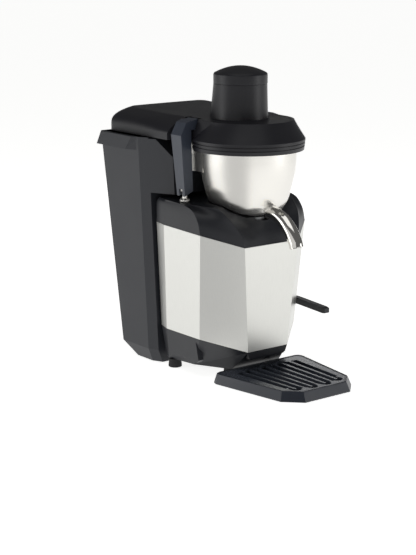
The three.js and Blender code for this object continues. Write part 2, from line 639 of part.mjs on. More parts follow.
const spout = pipe(SPOUT_RADIUS, 12).subtract(pipe(SPOUT_RADIUS - SPOUT_WALL, 14, 2));
add("juice_spout", spout.subtract(bowlSpace(GAP)), "polishedSteel");

// ---- Lid -----------------------------------------------------------------------------------------
const NOTCH_FRONT = 45;
const NOTCH_REAR = 80;
const LID_STEPS = 10;

function lidArc(radius, lastAngle) {
  return Array.from({ length: LID_STEPS + 1 }, (_, i) => {
    const angle = -Math.PI / 2 + (i / LID_STEPS) * (lastAngle + Math.PI / 2);
    return point(radius * Math.cos(angle), radius * Math.sin(angle));
  });
}
const notchAngle = Math.asin(NOTCH_FRONT / LID_RADIUS);
const LID_EDGE = bothSides([
  ...lidArc(LID_RADIUS, notchAngle), point(ROD_X - 8, NOTCH_REAR), point(LID_HALF_WIDTH, NOTCH_REAR + 5),
  point(LID_HALF_WIDTH, LID_REAR), point(0, LID_REAR + 3),
]);
const PLATEAU_HALF_WIDTH = LID_RADIUS - 21.3;
const LID_PLATEAU = bothSides([
  ...lidArc(PLATEAU_HALF_WIDTH, 0), point(PLATEAU_HALF_WIDTH, NOTCH_REAR),
  point(PLATEAU_HALF_WIDTH, NOTCH_REAR + 6),
  point(PLATEAU_HALF_WIDTH, LID_REAR - 19), point(0, LID_REAR - 17),
]);
const lidEdgeHeight = (y) => LID_SKIRT + 3.5 + (y > NOTCH_FRONT + 1 ? 9 : 0);
const plateauHeight = (y) => LID_TOP + LID_RISE * THREE.MathUtils.clamp(y / (LID_REAR - 19), 0, 1);

function lid() {
  const skirt = raise(LID_EDGE, LID_SKIRT);
  const edge = LID_EDGE.map((p) => point(p.x, p.y, lidEdgeHeight(p.y)));
  const plateau = LID_PLATEAU.map((p) => point(p.x, p.y, plateauHeight(p.y)));
  const shoulder = edge.map((p, i) => {
    const halfway = p.clone().lerp(plateau[i], 0.5);
    if (p.y > NOTCH_REAR + 1) halfway.add(point(8 * Math.sign(p.x), p.y > LID_REAR - 1 ? 4 : 0, 5.5));
    return halfway;
  });
  const rimProfile = [
    [BOWL_RADIUS + 8, LID_RIM], [LID_RADIUS - 2.2, LID_RIM], [LID_RADIUS - 1.2, LID_RIM + 7],
    [LID_RADIUS - 3, LID_RIM + 7.5], [LID_RADIUS - 3, LID_RIM + 9], [LID_RADIUS - 0.6, LID_RIM + 9.5],
    [LID_RADIUS - 0.6, LID_SKIRT + 1], [BOWL_RADIUS + 8, LID_SKIRT + 1], [BOWL_RADIUS + 8, LID_RIM],
  ];
  const behind = block([-200, OUTLET_END - 2, LID_RIM - 5], [200, 200, LID_SKIRT]);
  const outlet = block([-OUTLET_HALF_WIDTH - 2, 20, LID_RIM - 5],
    [OUTLET_HALF_WIDTH + 2, 200, LID_SKIRT + 5]);
  const rim = turned(rimProfile, 0, 0, BOWL_ROUND).subtract(behind).subtract(outlet);
  const hollowLow = bothSides([
    ...lidArc(BOWL_RADIUS + 8, 0), point(BOWL_RADIUS - 3, NOTCH_REAR),
    point(LID_HALF_WIDTH - 4, NOTCH_REAR + 10),
    point(LID_HALF_WIDTH - 4, LID_REAR - 4), point(0, LID_REAR - 3),
  ]);
  const hollowTop = bothSides([
    ...lidArc(PLATEAU_HALF_WIDTH - 8, 0), point(PLATEAU_HALF_WIDTH - 8, NOTCH_REAR),
    point(PLATEAU_HALF_WIDTH - 4, NOTCH_REAR + 10), point(PLATEAU_HALF_WIDTH - 4, LID_REAR - 26),
    point(0, LID_REAR - 24),
  ]);
  const hollow = loft([
    raise(hollowLow, LID_SKIRT - 1),
    hollowTop.map((p) => point(p.x, p.y, plateauHeight(p.y) - LID_WALL - 1)),
  ]);
  const ledge = block([PLATEAU_HALF_WIDTH - 11, NOTCH_FRONT - 3, LEDGE],
    [LID_RADIUS + 20, NOTCH_REAR - 0.5, LID_TOP + 20]);
  const relief = block([ROD_X - 10.8, NOTCH_FRONT - 2.5, LID_RIM - 5],
    [LID_RADIUS + 20, NOTCH_REAR - 0.5, LEDGE + 1]);
  const tubeRing = (radius, stretch, z) => circle(radius, 0, TUBE_OFFSET).map((p) =>
    point(p.x, p.y + (p.y > TUBE_OFFSET + 1 ? stretch : 0), z));
  const chimney = loft([
    tubeRing(TUBE_RADIUS + 2, 10, LID_TOP - 4), tubeRing(TUBE_RADIUS + 1, 7, LID_TOP + 14),
    tubeRing(TUBE_RADIUS, 1, TUBE_TOP),
  ]);
  const chute = drum(TUBE_BORE + 3, BASKET_BASE + 24, LID_TOP - 3, 0, TUBE_OFFSET);
  const notch = ledge.add(relief);
  const shell = loft([skirt, edge, shoulder, plateau]).add(rim)
    .subtract(hollow).subtract(notch).subtract(mirrored(notch));
  return shell.add(chimney).add(chute).subtract(drum(TUBE_BORE, BASKET_BASE, TUBE_TOP + 5, 0, TUBE_OFFSET));
}
add("lid", lid(), "lidPlastic");

const seal = ring(BOWL_RADIUS + 5, BOWL_RADIUS - 1, BOWL_RIM + GAP, SEAL_TOP, 0, 0, BOWL_ROUND);
const sealGap = block([-OUTLET_HALF_WIDTH - 2, 10, BOWL_RIM - 5], [OUTLET_HALF_WIDTH + 2, 200, SEAL_TOP + 5]);
add("lid_seal", seal.subtract(sealGap), "foodRubber");

// ---- Pusher --------------------------------------------------------------------------------------
const STEM_RADIUS = TUBE_BORE - PUSHER_CLEARANCE;
const STEM_TOP = TUBE_TOP + 4;
const stem = [
  [0, BASKET_BASE + 27], [STEM_RADIUS, BASKET_BASE + 27], [STEM_RADIUS, STEM_TOP],
  [STEM_RADIUS - 3, STEM_TOP],
  [STEM_RADIUS - 3, BASKET_BASE + 30], [0, BASKET_BASE + 30],
];
add("pusher_stem", turned(stem, 0, TUBE_OFFSET), "lidPlastic");

const CAP_RADIUS = TUBE_RADIUS + 0.6;
const CAP_LOW = TUBE_TOP + GAP;
function pusherCap() {
  const shoulder = TUBE_TOP + CAP_BAND;
  const dome = (radius, height, base) => [0, 1, 2, 3].map((i) => {
    const share = i / 3;
    return [radius * (1 - share), base + height * (1 - (1 - share) ** 2)];
  });
  const outside = dome(CAP_RADIUS, CAP_DOME, shoulder + 1);
  const inside = dome(CAP_RADIUS - 3, CAP_DOME - 2, shoulder - 2).reverse();
  return turned([[CAP_RADIUS - 3, CAP_LOW], [CAP_RADIUS, CAP_LOW], ...outside,
    ...inside, [CAP_RADIUS - 3, CAP_LOW]],
    0, TUBE_OFFSET);
}
const capSocket = ring(STEM_RADIUS + 3, STEM_RADIUS + GAP, CAP_LOW, TUBE_TOP + CAP_BAND + 2, 0, TUBE_OFFSET);
add("pusher_cap", pusherCap().add(capSocket), "lidPlastic");

// ---- Pulp bin ------------------------------------------------------------------------------------
const BIN_WALL_Y = BODY_REAR + 6.5;
const BIN_REAR = BIN_WALL_Y + BIN_DEPTH;
const BIN_HEAD = DECK + 8; // underside of the part that reaches over the body
const BIN_HEAD_FRONT = 90;
const BIN_LOW = 2;

function binSection(z, halfWidth, front, rear) {
  return bothSides([
    point(halfWidth - 9.4, front, z), point(halfWidth, front + 20, z), point(halfWidth, rear - 8, z),
    point(halfWidth - 8, rear, z),
  ]);
}

const BIN_KNEE = 28; // above this the bin widens evenly to its rim
const BIN_LIP_LOW = BIN_TOP - 25;
const risen = (z) => (z - BIN_KNEE) / (BIN_TOP - BIN_KNEE);
const binHalfWidth = (z) => BIN_HALF_WIDTH - 20 + 21 * risen(z);

function binRings(thickness) {
  const top = thickness > 0 ? BIN_TOP + 5 : BIN_TOP;
  return [
    binSection(BIN_LOW + thickness, binHalfWidth(BIN_KNEE) - 10, BIN_WALL_Y, BIN_REAR - 72),
    binSection(BIN_KNEE, binHalfWidth(BIN_KNEE), BIN_WALL_Y, BIN_REAR - 36),
    binSection(BIN_LIP_LOW, binHalfWidth(BIN_LIP_LOW), BIN_WALL_Y, BIN_REAR - 36 + 37 * risen(BIN_LIP_LOW)),
    binSection(top, binHalfWidth(BIN_TOP), BIN_WALL_Y, BIN_REAR - 7),
  ].map((section) => inset(section, thickness));
}

// The head carries the oblique front corners of the bin forward, over the shoulder of the body.
// Its upper front edge is cut off at 45 degrees.
function binHead(thickness) {
  const reach = BIN_WALL_Y - BIN_HEAD_FRONT;
  const outline = (z) => {
    const corner = binHalfWidth(z) - 9.4;
    return inset(bothSides([
      point(corner - reach * 0.47, BIN_HEAD_FRONT, z), point(corner, BIN_WALL_Y, z),
      point(corner - 6, BIN_WALL_Y + 18, z),
    ]), thickness);
  };
  const top = thickness > 0 ? BIN_TOP + 5 : BIN_TOP - 2;
  const bevel = (BIN_HEAD_FRONT + 34 - BIN_TOP) * Math.SQRT1_2 + thickness;
  return loft([outline(BIN_HEAD + thickness), outline(top)])
    .trimByPlane([0, Math.SQRT1_2, -Math.SQRT1_2], bevel);
}

function pulpBin() {
  const lipEdge = (z, out, front, rear) => bothSides([
    point(BIN_HALF_WIDTH - 3, BIN_WALL_Y + 20, z), point(BIN_HALF_WIDTH + out, front, z),
    point(BIN_HALF_WIDTH + out, rear - 10, z), point(BIN_HALF_WIDTH + out - 8, rear, z),
  ]);
  const lip = loft([
    lipEdge(BIN_LIP_LOW, BIN_LIP, BIN_WALL_Y + 49.5, BIN_REAR + 5.5),
    lipEdge(BIN_TOP, BIN_LIP - 2.5, BIN_WALL_Y + 32.5, BIN_REAR - 5.5),
  ]);
  let bin = loft(binRings(0)).add(binHead(0)).add(lip);
  for (const side of [-1, 1]) {
    bin = bin.add(block([side * 60 - 6, BIN_WALL_Y + 12, 0], [side * 60 + 6, BIN_REAR - 90, BIN_LOW + 1]));
  }
  const passage = block([-OUTLET_HALF_WIDTH, BIN_HEAD_FRONT - 10, OUTLET_FLOOR],
    [OUTLET_HALF_WIDTH, BIN_WALL_Y + 20, BIN_TOP + 5]);
  return bin.subtract(loft(binRings(BIN_WALL))).subtract(binHead(BIN_WALL)).subtract(passage);
}
add("pulp_bin", pulpBin(), "binPlastic");

// ---- Drip tray -----------------------------------------------------------------------------------
const trayOutline = (z) => bothSides([
  point(TRAY_HALF_WIDTH * 0.5, TRAY_FRONT, z), point(TRAY_HALF_WIDTH * 0.77, TRAY_FRONT + 27, z),
  point(TRAY_HALF_WIDTH, TRAY_REAR - 12, z), point(TRAY_HALF_WIDTH - 3, TRAY_REAR - 3, z),
  point(TRAY_HALF_WIDTH - 11, TRAY_REAR, z),
]);
const GRID_LOW = TRAY_HEIGHT - 7;

function trayPan() {
  const foot = inset(trayOutline(2), -8.6).map((p) => point(p.x * 0.985, Math.min(p.y, TRAY_REAR), p.z));
  const pan = loft([foot, inset(trayOutline(TRAY_HEIGHT - 1), -0.4), inset(trayOutline(TRAY_HEIGHT), 0.4)]);
  const well = loft([inset(trayOutline(5), TRAY_WALL), inset(trayOutline(GRID_LOW - GAP), TRAY_WALL + 1)]);
  const seat = loft([inset(trayOutline(GRID_LOW - GAP - 0.01), TRAY_WALL),
    inset(trayOutline(TRAY_HEIGHT + 2), TRAY_WALL)]);
  let tray = pan.subtract(seat).subtract(well);
  for (const side of [-1, 1]) {
    tray = tray.add(block([side * 50 - 5, TRAY_FRONT + 30, 0], [side * 50 + 5, TRAY_REAR - 20, 3]));
  }
  return tray;
}
add("drip_tray", trayPan(), "trayPlastic");

// One slot runs back and forth between the ribs. Ribs reach the front and the rear border in
// turn, and fan out towards the rear.
const GRID_FRONT = TRAY_FRONT + 19;
const GRID_REAR = TRAY_REAR - 26;
const FAN = 0.17;

function dripGrid() {
  const fanned = (x, y) => x * (1 + (FAN * (y - GRID_FRONT)) / (GRID_REAR - GRID_FRONT));
  const strip = (x, width, front, rear, low = GRID_LOW) => {
    const corners = [[x - width / 2, front], [x + width / 2, front],
      [x + width / 2, rear], [x - width / 2, rear]];
    return prism(corners.map(([cx, cy]) => point(fanned(cx, cy), cy)), low - 1, TRAY_HEIGHT + 1);
  };
  let grid = prism(inset(trayOutline(0), TRAY_WALL + GAP), GRID_LOW, TRAY_HEIGHT - 0.6);
  const slotWidth = RIB_PITCH - RIB_WIDTH;
  for (let i = -4; i < 4; i += 1) {
    const besideChamfer = i === -4 || i === 3;
    const front = besideChamfer ? GRID_FRONT + RIB_PITCH : GRID_FRONT;
    grid = grid.subtract(strip((i + 0.5) * RIB_PITCH, slotWidth, front, GRID_REAR));
  }
  for (let i = -3; i <= 3; i += 1) {
    const atRear = i % 2 === 0;
    const cornerStep = Math.abs(i) === 3 ? 6 : 0;
    const y = atRear ? GRID_REAR : GRID_FRONT + cornerStep;
    const turn = drum(RIB_PITCH * 0.86 - 2, GRID_LOW - 1, TRAY_HEIGHT + 1, fanned(i * RIB_PITCH, y), y, 24);
    const tip = drum(RIB_WIDTH / 2, GRID_LOW, TRAY_HEIGHT - 0.6, fanned(i * RIB_PITCH, y), y, 12);
    const rib = strip(i * RIB_PITCH, RIB_WIDTH, atRear ? y - 40 : y, atRear ? y : y + 40)
      .intersect(prism(trayOutline(0), GRID_LOW, TRAY_HEIGHT - 0.6));
    grid = grid.subtract(turn).add(tip).add(rib);
  }
  return grid;
}
add("drip_grid", dripGrid(), "trayPlastic");

// ---- Clamp linkage -------------------------------------------------------------------------------
const SHAFT_END = BODY_HALF_WIDTH + 2; // inner face of the lever
const CRANK_INNER = ROD_X - 17;
const crossAt = (x) => point(x, CROSS_SHAFT_Y, CROSS_SHAFT_Z);
const pinAt = (x) => point(
  x, CROSS_SHAFT_Y - CRANK_LENGTH * Math.cos(CRANK_REST), CROSS_SHAFT_Z + CRANK_LENGTH * Math.sin(CRANK_REST),
);

add("cross_shaft",
  bar(CROSS_SHAFT_RADIUS, crossAt(-CRANK_INNER - 6), crossAt(SHAFT_END + LEVER_THICKNESS - 1)),
  "polishedSteel");

function bracket() {
  const low = CHASSIS + 3 + GAP;
  const plate = block([74, CROSS_SHAFT_Y - 15, low], [84, CROSS_SHAFT_Y + 15, CROSS_SHAFT_Z + 16]);
  return plate.subtract(bar(CROSS_SHAFT_RADIUS + GAP, crossAt(70), crossAt(90)));
}
addPair("shaft_bracket", bracket(), "darkSteel");

function crank() {
  const neck = (x) => crossAt(x).lerp(pinAt(x), 0.6);
  const web = bar(12, crossAt(CRANK_INNER), crossAt(CRANK_INNER + 6))
    .add(bar(9, neck(CRANK_INNER), neck(CRANK_INNER + 6)))
    .add(bar(8, pinAt(CRANK_INNER), pinAt(CRANK_INNER + 6)));
  return web.subtract(bar(CROSS_SHAFT_RADIUS + 0.2, crossAt(CRANK_INNER - 5), crossAt(CRANK_INNER + 11)))
    .add(bar(CRANK_PIN_RADIUS, pinAt(CRANK_INNER + 3), pinAt(ROD_X + 5), 16));
}
addPair("crank", crank(), "darkSteel");

const ROD_EYE_WIDTH = 9;
function tieRod() {
  const pin = pinAt(ROD_X);
  const middle = (pin.y + CROSS_SHAFT_Y - CRANK_LENGTH) / 2;
  const slotReach = CRANK_PIN_RADIUS + 2.4;
  const yoke = block([ROD_X - 5, middle - slotReach - 3, pin.z - 10],
    [ROD_X + 5, middle + slotReach + 3, pin.z + 12]);
  const slot = block([ROD_X - 10, middle - slotReach, pin.z - CRANK_PIN_RADIUS - 0.6],
    [ROD_X + 10, middle + slotReach, pin.z + CRANK_PIN_RADIUS + 0.6]);
  const stemOfRod = drum(ROD_RADIUS, pin.z + 10, ARM_PIVOT_Z - 4, ROD_X, ROD_Y, 20);
  const half = ROD_EYE_WIDTH / 2;
  const eye = bar(7, point(ROD_X, ROD_Y - half, ARM_PIVOT_Z), point(ROD_X, ROD_Y + half, ARM_PIVOT_Z));
  const pinHole = bar(ARM_PIN_RADIUS + 0.2, point(ROD_X, ROD_Y - 20, ARM_PIVOT_Z),
    point(ROD_X, ROD_Y + 20, ARM_PIVOT_Z), 16);
  return yoke.subtract(slot).add(stemOfRod).add(eye).subtract(pinHole);
}
addPair("tie_rod", tieRod(), "polishedSteel");

const guide = [
  [ROD_RADIUS + GAP, DECK - 12], [7.6, DECK - 12], [7.6, DECK], [10, DECK], [10, DECK + 3], [7.5, DECK + 6],
  [ROD_RADIUS + GAP, DECK + 6], [ROD_RADIUS + GAP, DECK - 12],
];
addPair("rod_guide", turned(guide, ROD_X, ROD_Y, SMALL_ROUND), "polishedSteel");

// The arm rises from its pivot, leans out around the lid's edge and ends in a nose over the ledge.
function clampArm() {
  const front = NOTCH_FRONT;
  const section = (inner, outer, rear, innerZ, outerZ) => [
    point(inner, front, innerZ), point(outer, front, outerZ),
    point(outer, rear, outerZ), point(inner, rear, innerZ),
  ];
  const foot = ARM_PIVOT_Z - 11;
  const knee = LEDGE - 9;
  const limb = loft([
    section(ROD_X - 10, ROD_X + 9, front + 24, foot + 9, foot),
    section(ROD_X - 6, ROD_X + 17.5, front + 31, knee, knee),
    section(ROD_X - 6, ROD_X + 5.5, front + 30, LID_TOP, LID_TOP - 4),
  ]);
  const nose = loft([
    section(ROD_X - 25, ROD_X, front + 28, LEDGE + GAP, LEDGE + GAP),
    section(ROD_X - 21, ROD_X, front + 28, LID_TOP + 2, LID_TOP - 3),
  ]);
  const slotHalf = ROD_EYE_WIDTH / 2 + 0.5;
  const pocket = block([ROD_X - 7.6, ROD_Y - slotHalf, ARM_PIVOT_Z - 20],
    [ROD_X + 7.6, ROD_Y + slotHalf, ARM_PIVOT_Z + 8]);
  const slot = block([ROD_X, ROD_Y - slotHalf, ARM_PIVOT_Z - 20],
    [ROD_X + 30, ROD_Y + slotHalf, ARM_PIVOT_Z + 2.2]);
  const hole = bar(ARM_PIN_RADIUS + 0.2, point(ROD_X, front + 2, ARM_PIVOT_Z),
    point(ROD_X, 120, ARM_PIVOT_Z), 16);
  return limb.add(nose).subtract(pocket).subtract(slot).subtract(hole);
}
addPair("clamp_arm", clampArm(), "blackPlastic");
const armPin = bar(ARM_PIN_RADIUS, point(ROD_X, NOTCH_FRONT + 2.4, ARM_PIVOT_Z),
  point(ROD_X, NOTCH_FRONT + 23, ARM_PIVOT_Z), 16);
addPair("arm_pin", armPin, "polishedSteel");

// The hand lever on the right: a boss on the cross shaft and a flat bar that points forward.
function handLever() {
  const [inner, outer] = [SHAFT_END, SHAFT_END + LEVER_THICKNESS];
  const tip = CROSS_SHAFT_Y - LEVER_REACH;
  const side = (low, high) => [
    point(inner, low), point(outer, low), point(outer, high), point(inner, high),
  ];
  const limb = loft([
    side(tip + 3, CROSS_SHAFT_Y).map((p) => point(p.x, p.y, CROSS_SHAFT_Z - 6 - (p.y < 0 ? 3 : 0))),
    side(tip, CROSS_SHAFT_Y).map((p) => point(p.x, p.y, CROSS_SHAFT_Z - (p.y < 0 ? 4 : 0))),
    side(tip + 5, CROSS_SHAFT_Y).map((p) => point(p.x, p.y, CROSS_SHAFT_Z + 6 - (p.y < 0 ? 3 : 0))),
  ]);
  const boss = bar(13, crossAt(inner), crossAt(outer));
  const bore = bar(CROSS_SHAFT_RADIUS + 0.2, crossAt(inner - 3), crossAt(outer - 1 + 0.3));
  return limb.add(boss).subtract(bore);
}
add("hand_lever", handLever(), "blackPlastic");

// ---- Switches and electrics ------------------------------------------------------------------------
function sideFace(z) {
  const level = bodyLevel(z);
  return level[1].x;
}

function switchPlate() {
  const { y, z, halfWidth, halfHeight } = BUTTON_PLATE;
  const slab = (shift, depth) => loft([z - halfHeight, z + halfHeight].map((height) => {
    const face = sideFace(height) + shift;
    return [point(face, y - halfWidth, height), point(face + depth, y - halfWidth, height),
      point(face + depth, y + halfWidth, height), point(face, y + halfWidth, height)];
  }));
  let plate = slab(GAP, 2.5);
  for (const lift of [-14, 14]) {
    plate = plate.subtract(bar(9.5, point(BODY_LOW_HALF_WIDTH, y, z + lift),
      point(BODY_HALF_WIDTH + 9, y, z + lift)));
  }
  return plate;
}
add("switch_plate", switchPlate(), "blackPlastic");

for (const [name, lift, look] of [["start_button", 14, "greenButton"], ["stop_button", -14, "redButton"]]) {
  const { y, z } = BUTTON_PLATE;
  const face = sideFace(z + lift);
  const cap = bar(9.2, point(face - 4, y, z + lift), point(face + 6, y, z + lift));
  const plunger = bar(4, point(face - 10, y, z + lift), point(face - 3, y, z + lift), 16);
  add(name, cap.add(plunger), look);
}

function switchBox() {
  const { y, z, halfWidth, halfHeight } = BUTTON_PLATE;
  const face = sideFace(z - halfHeight) - PANEL_WALL - 3;
  let box = block([face - 26, y - halfWidth, z - halfHeight], [face - 8, y + halfWidth, MOUNT_PLATE - 4]);
  for (const lift of [-14, 14]) {
    box = box.subtract(bar(5, point(face - 20, y, z + lift), point(face + 5, y, z + lift), 16));
  }
  return box;
}
add("switch_block", switchBox(), "blackPlastic");

const switchX = ROD_X - 25;
const microswitch = block([switchX - 12, ROD_Y - 10, BOWL_BASE - 12], [switchX, ROD_Y + 10, BOWL_BASE + 3])
  .add(block([switchX - 2, ROD_Y - 2, BOWL_BASE - 8], [ROD_X - ROD_RADIUS - 2, ROD_Y + 2, BOWL_BASE - 6]));
add("clamp_safety_switch", microswitch, "blackPlastic");

const board = block([-60, 80, CHASSIS + 10], [30, 112, CHASSIS + 13])
  .add(block([-50, 84, CHASSIS + 12], [-20, 108, CHASSIS + 34]))
  .add(block([-10, 88, CHASSIS + 12], [10, 104, CHASSIS + 24]))
  .add(block([-56, 92, CHASSIS + 3 + GAP], [-50, 100, CHASSIS + 11]))
  .add(block([20, 92, CHASSIS + 3 + GAP], [26, 100, CHASSIS + 11]));
add("brake_module", board, "circuitBoard");
const capacitorLow = CHASSIS + 3 + GAP;
add("motor_capacitor", drum(18, capacitorLow, capacitorLow + 56, -40, 45, 24), "castAluminium");

// ---- Placing the machine ---------------------------------------------------------------------------
const extent = new THREE.Box3().setFromObject(machine);
const middle = extent.getCenter(point(0, 0, 0));
machine.position.set(-middle.x, -middle.y, -extent.min.z);

const juicer = new THREE.Group();
juicer.add(machine);

export default juicer;
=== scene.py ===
import json
import math

import bmesh
import bpy
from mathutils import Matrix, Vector


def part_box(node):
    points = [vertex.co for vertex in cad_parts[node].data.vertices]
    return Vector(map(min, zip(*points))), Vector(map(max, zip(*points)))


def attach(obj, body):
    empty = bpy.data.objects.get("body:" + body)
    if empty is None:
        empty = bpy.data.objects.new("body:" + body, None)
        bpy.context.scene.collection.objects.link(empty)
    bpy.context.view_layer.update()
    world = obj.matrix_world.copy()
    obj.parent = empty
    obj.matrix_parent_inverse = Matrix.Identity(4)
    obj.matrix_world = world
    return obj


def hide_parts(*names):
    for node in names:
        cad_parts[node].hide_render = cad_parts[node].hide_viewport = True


bl_info = {
    "name": "Centrifugal Juicer",
    "version": (1, 0, 0),
    "blender": (4, 5, 0),
    "location": "View3D > Sidebar > Juicer",
    "description": "Finishes a counter-top centrifugal juicer piece by piece around its packed frame",
    "category": "Object",
}

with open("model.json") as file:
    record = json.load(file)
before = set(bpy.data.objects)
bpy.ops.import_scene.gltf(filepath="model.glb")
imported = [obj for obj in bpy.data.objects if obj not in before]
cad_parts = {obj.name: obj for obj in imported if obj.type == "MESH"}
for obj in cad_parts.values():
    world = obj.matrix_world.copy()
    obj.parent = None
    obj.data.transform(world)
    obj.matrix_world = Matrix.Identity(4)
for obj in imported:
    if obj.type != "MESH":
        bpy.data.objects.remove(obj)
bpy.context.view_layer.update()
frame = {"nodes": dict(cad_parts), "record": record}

MM = 0.001
AXIS_Y = (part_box("motor_shaft")[0].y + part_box("motor_shaft")[1].y) / 2  # vertical axis of bowl and motor


# ---- Sizes and colours ----------------------------------------------------------------------
class JuicerSizes(bpy.types.PropertyGroup):
    """Sizes of the finish that a user may change"""

    plastic_edge: bpy.props.FloatProperty(
        name="Plastic edge radius", description="Rounding of the moulded plastic edges",
        default=1.1 * MM, min=0.0, unit="LENGTH")
    sheet_edge: bpy.props.FloatProperty(
        name="Sheet edge radius", description="Rounding of the folded steel's creases and edges",
        default=0.45 * MM, min=0.0, unit="LENGTH")
    small_edge: bpy.props.FloatProperty(
        name="Small edge radius", description="Rounding of small turned and cut pieces",
        default=0.35 * MM, min=0.0, unit="LENGTH")
    turn_steps: bpy.props.IntProperty(
        name="Sides of a turning", description="Sides of a fine round piece", default=128, min=24)
    camera_lens: bpy.props.FloatProperty(
        name="Camera lens", description="Focal length for a 36 mm tall sensor, in millimetres",
        default=98.7)


class JuicerColours(bpy.types.PropertyGroup):
    """Surface colours, as sRGB hex values"""

    housing: bpy.props.StringProperty(name="Housing", description="Base and top cover", default="#1A1C22")
    lid: bpy.props.StringProperty(name="Lid", description="Lid, tube and pusher", default="#1C1C21")
    bin: bpy.props.StringProperty(name="Pulp bin", description="Pulp bin", default="#23252B")
    arms: bpy.props.StringProperty(name="Clamp arms", description="Clamp arms", default="#343A46")
    tray: bpy.props.StringProperty(name="Drip tray", description="Drip tray", default="#262B35")
    # The grid's grey is lighter than the tray's: painted highlight for the light that its rib tops catch.
    grid: bpy.props.StringProperty(name="Drip grid", description="Ribbed grid in the tray", default="#4C515B")
    panel: bpy.props.StringProperty(name="Panel steel", description="Brushed panels", default="#D6D6D2")
    bowl: bpy.props.StringProperty(name="Bowl steel", description="Polished bowl, spout", default="#E6E4DF")
    floor: bpy.props.StringProperty(name="Floor", description="Studio floor", default="#F6F6F5")


def linear(colour):
    """An sRGB hex colour as linear red, green, blue and alpha."""
    parts = [int(colour[i:i + 2], 16) / 255 for i in (1, 3, 5)]
    return tuple(c / 12.92 if c <= 0.04045 else ((c + 0.055) / 1.055) ** 2.4 for c in parts) + (1.0,)


# ---- Materials ------------------------------------------------------------------------------
def add_node(material, kind, values=None, links=None, **settings):
    """Adds one shader node, with its settings, its fixed inputs and its links."""
    node = material.node_tree.nodes.new(kind)
    for key, value in settings.items():
        setattr(node, key, value)
    for key, value in (values or {}).items():
        node.inputs[key].default_value = value
    for key, source in (links or {}).items():
        material.node_tree.links.new(source, node.inputs[key])
    return node


def new_surface(name, **values):
    """A material with one Principled surface, whose plain values are set on its own sockets."""
    material = bpy.data.materials.new(name)
    material.use_nodes = True
    shader = material.node_tree.nodes["Principled BSDF"]
    for key, value in values.items():
        shader.inputs[key.replace("_", " ")].default_value = value
    return material, shader


def link(material, source, socket):
    material.node_tree.links.new(source, socket)


def per_metre(millimetres):
    """Noise scale whose features are this many millimetres across."""
    return 1000.0 / millimetres


def roughness_range(material, low, high, pattern):
    """Roughness between two values, led by a noise pattern."""
    return add_node(material, "ShaderNodeMapRange", {"To Min": low, "To Max": high},
                    {"Value": pattern.outputs["Fac"]})


def shade_range(colour, dark, light):
    """The colour made a little darker and a little lighter, for a ramp between the two."""
    base = linear(colour)
    return [tuple(min(1.0, c * k) for c in base[:3]) + (1.0,) for k in (dark, light)]


def moulded_plastic(name, colour, roughness, grain_mm, gloss):
    """Injection-moulded ABS from a spark-eroded tool: an even satin with a fine pebbled grain,
    slightly uneven in gloss where hands and cloths have polished it."""
    material, shader = new_surface(name, IOR=1.53, Specular_IOR_Level=gloss)
    place = add_node(material, "ShaderNodeTexCoord")
    # The real grain is 0.1 to 0.2 mm, too fine to be seen from the camera, so it is drawn coarser.
    grain = add_node(material, "ShaderNodeTexNoise", {"Scale": per_metre(grain_mm), "Detail": 3.0},
                     {"Vector": place.outputs["Object"]})
    handling = add_node(material, "ShaderNodeTexNoise",
                        {"Scale": per_metre(70), "Detail": 4.0, "Roughness": 0.6},
                        {"Vector": place.outputs["Object"]})
    satin = roughness_range(material, roughness - 0.06, roughness + 0.07, handling)
    low, high = shade_range(colour, 0.88, 1.14)
    tint = add_node(material, "ShaderNodeMix", {"A": low, "B": high}, {"Factor": handling.outputs["Fac"]},
                    data_type="RGBA")
    bump = add_node(material, "ShaderNodeBump", {"Strength": 0.25, "Distance": 0.06 * MM},
                    {"Height": grain.outputs["Fac"]})
    link(material, tint.outputs["Result"], shader.inputs["Base Color"])
    link(material, satin.outputs["Result"], shader.inputs["Roughness"])
    link(material, bump.outputs["Normal"], shader.inputs["Normal"])
    return material


def drawn_grain(material, across_mm, along_mm, direction):
    """Noise drawn out along one axis, as a belt or a lathe tool leaves it."""
    place = add_node(material, "ShaderNodeTexCoord")
    scale = [per_metre(across_mm)] * 3
    scale[direction] = per_metre(along_mm)
    stretch = add_node(material, "ShaderNodeMapping", {"Scale": scale}, {"Vector": place.outputs["Object"]})
    return add_node(material, "ShaderNodeTexNoise", {"Scale": 1.0, "Detail": 3.0, "Roughness": 0.65},
                    {"Vector": stretch.outputs["Vector"]})


def brushed_stainless(name, colour, roughness, direction):
    """Cold-rolled stainless sheet brushed with a belt: a soft white sheen with fine streaks
    along the brushing, and faint cloudy smears from wiping."""
    material, shader = new_surface(name, Metallic=1.0)
    # Belt marks are about 0.1 mm apart and 60 mm long; drawn 0.9 mm apart so that they show.
    streaks = drawn_grain(material, 0.9, 60, direction)
    place = add_node(material, "ShaderNodeTexCoord")
    smears = add_node(material, "ShaderNodeTexNoise", {"Scale": per_metre(90), "Detail": 3.0},
                      {"Vector": place.outputs["Object"]})
    rough = roughness_range(material, roughness - 0.05, roughness + 0.08, smears)
    low, high = shade_range(colour, 0.93, 1.05)
    tint = add_node(material, "ShaderNodeMix", {"A": low, "B": high}, {"Factor": streaks.outputs["Fac"]},
                    data_type="RGBA")
    bump = add_node(material, "ShaderNodeBump", {"Strength": 0.12, "Distance": 0.03 * MM},
                    {"Height": streaks.outputs["Fac"]})
    link(material, tint.outputs["Result"], shader.inputs["Base Color"])
    link(material, rough.outputs["Result"], shader.inputs["Roughness"])
    link(material, bump.outputs["Normal"], shader.inputs["Normal"])
    return material


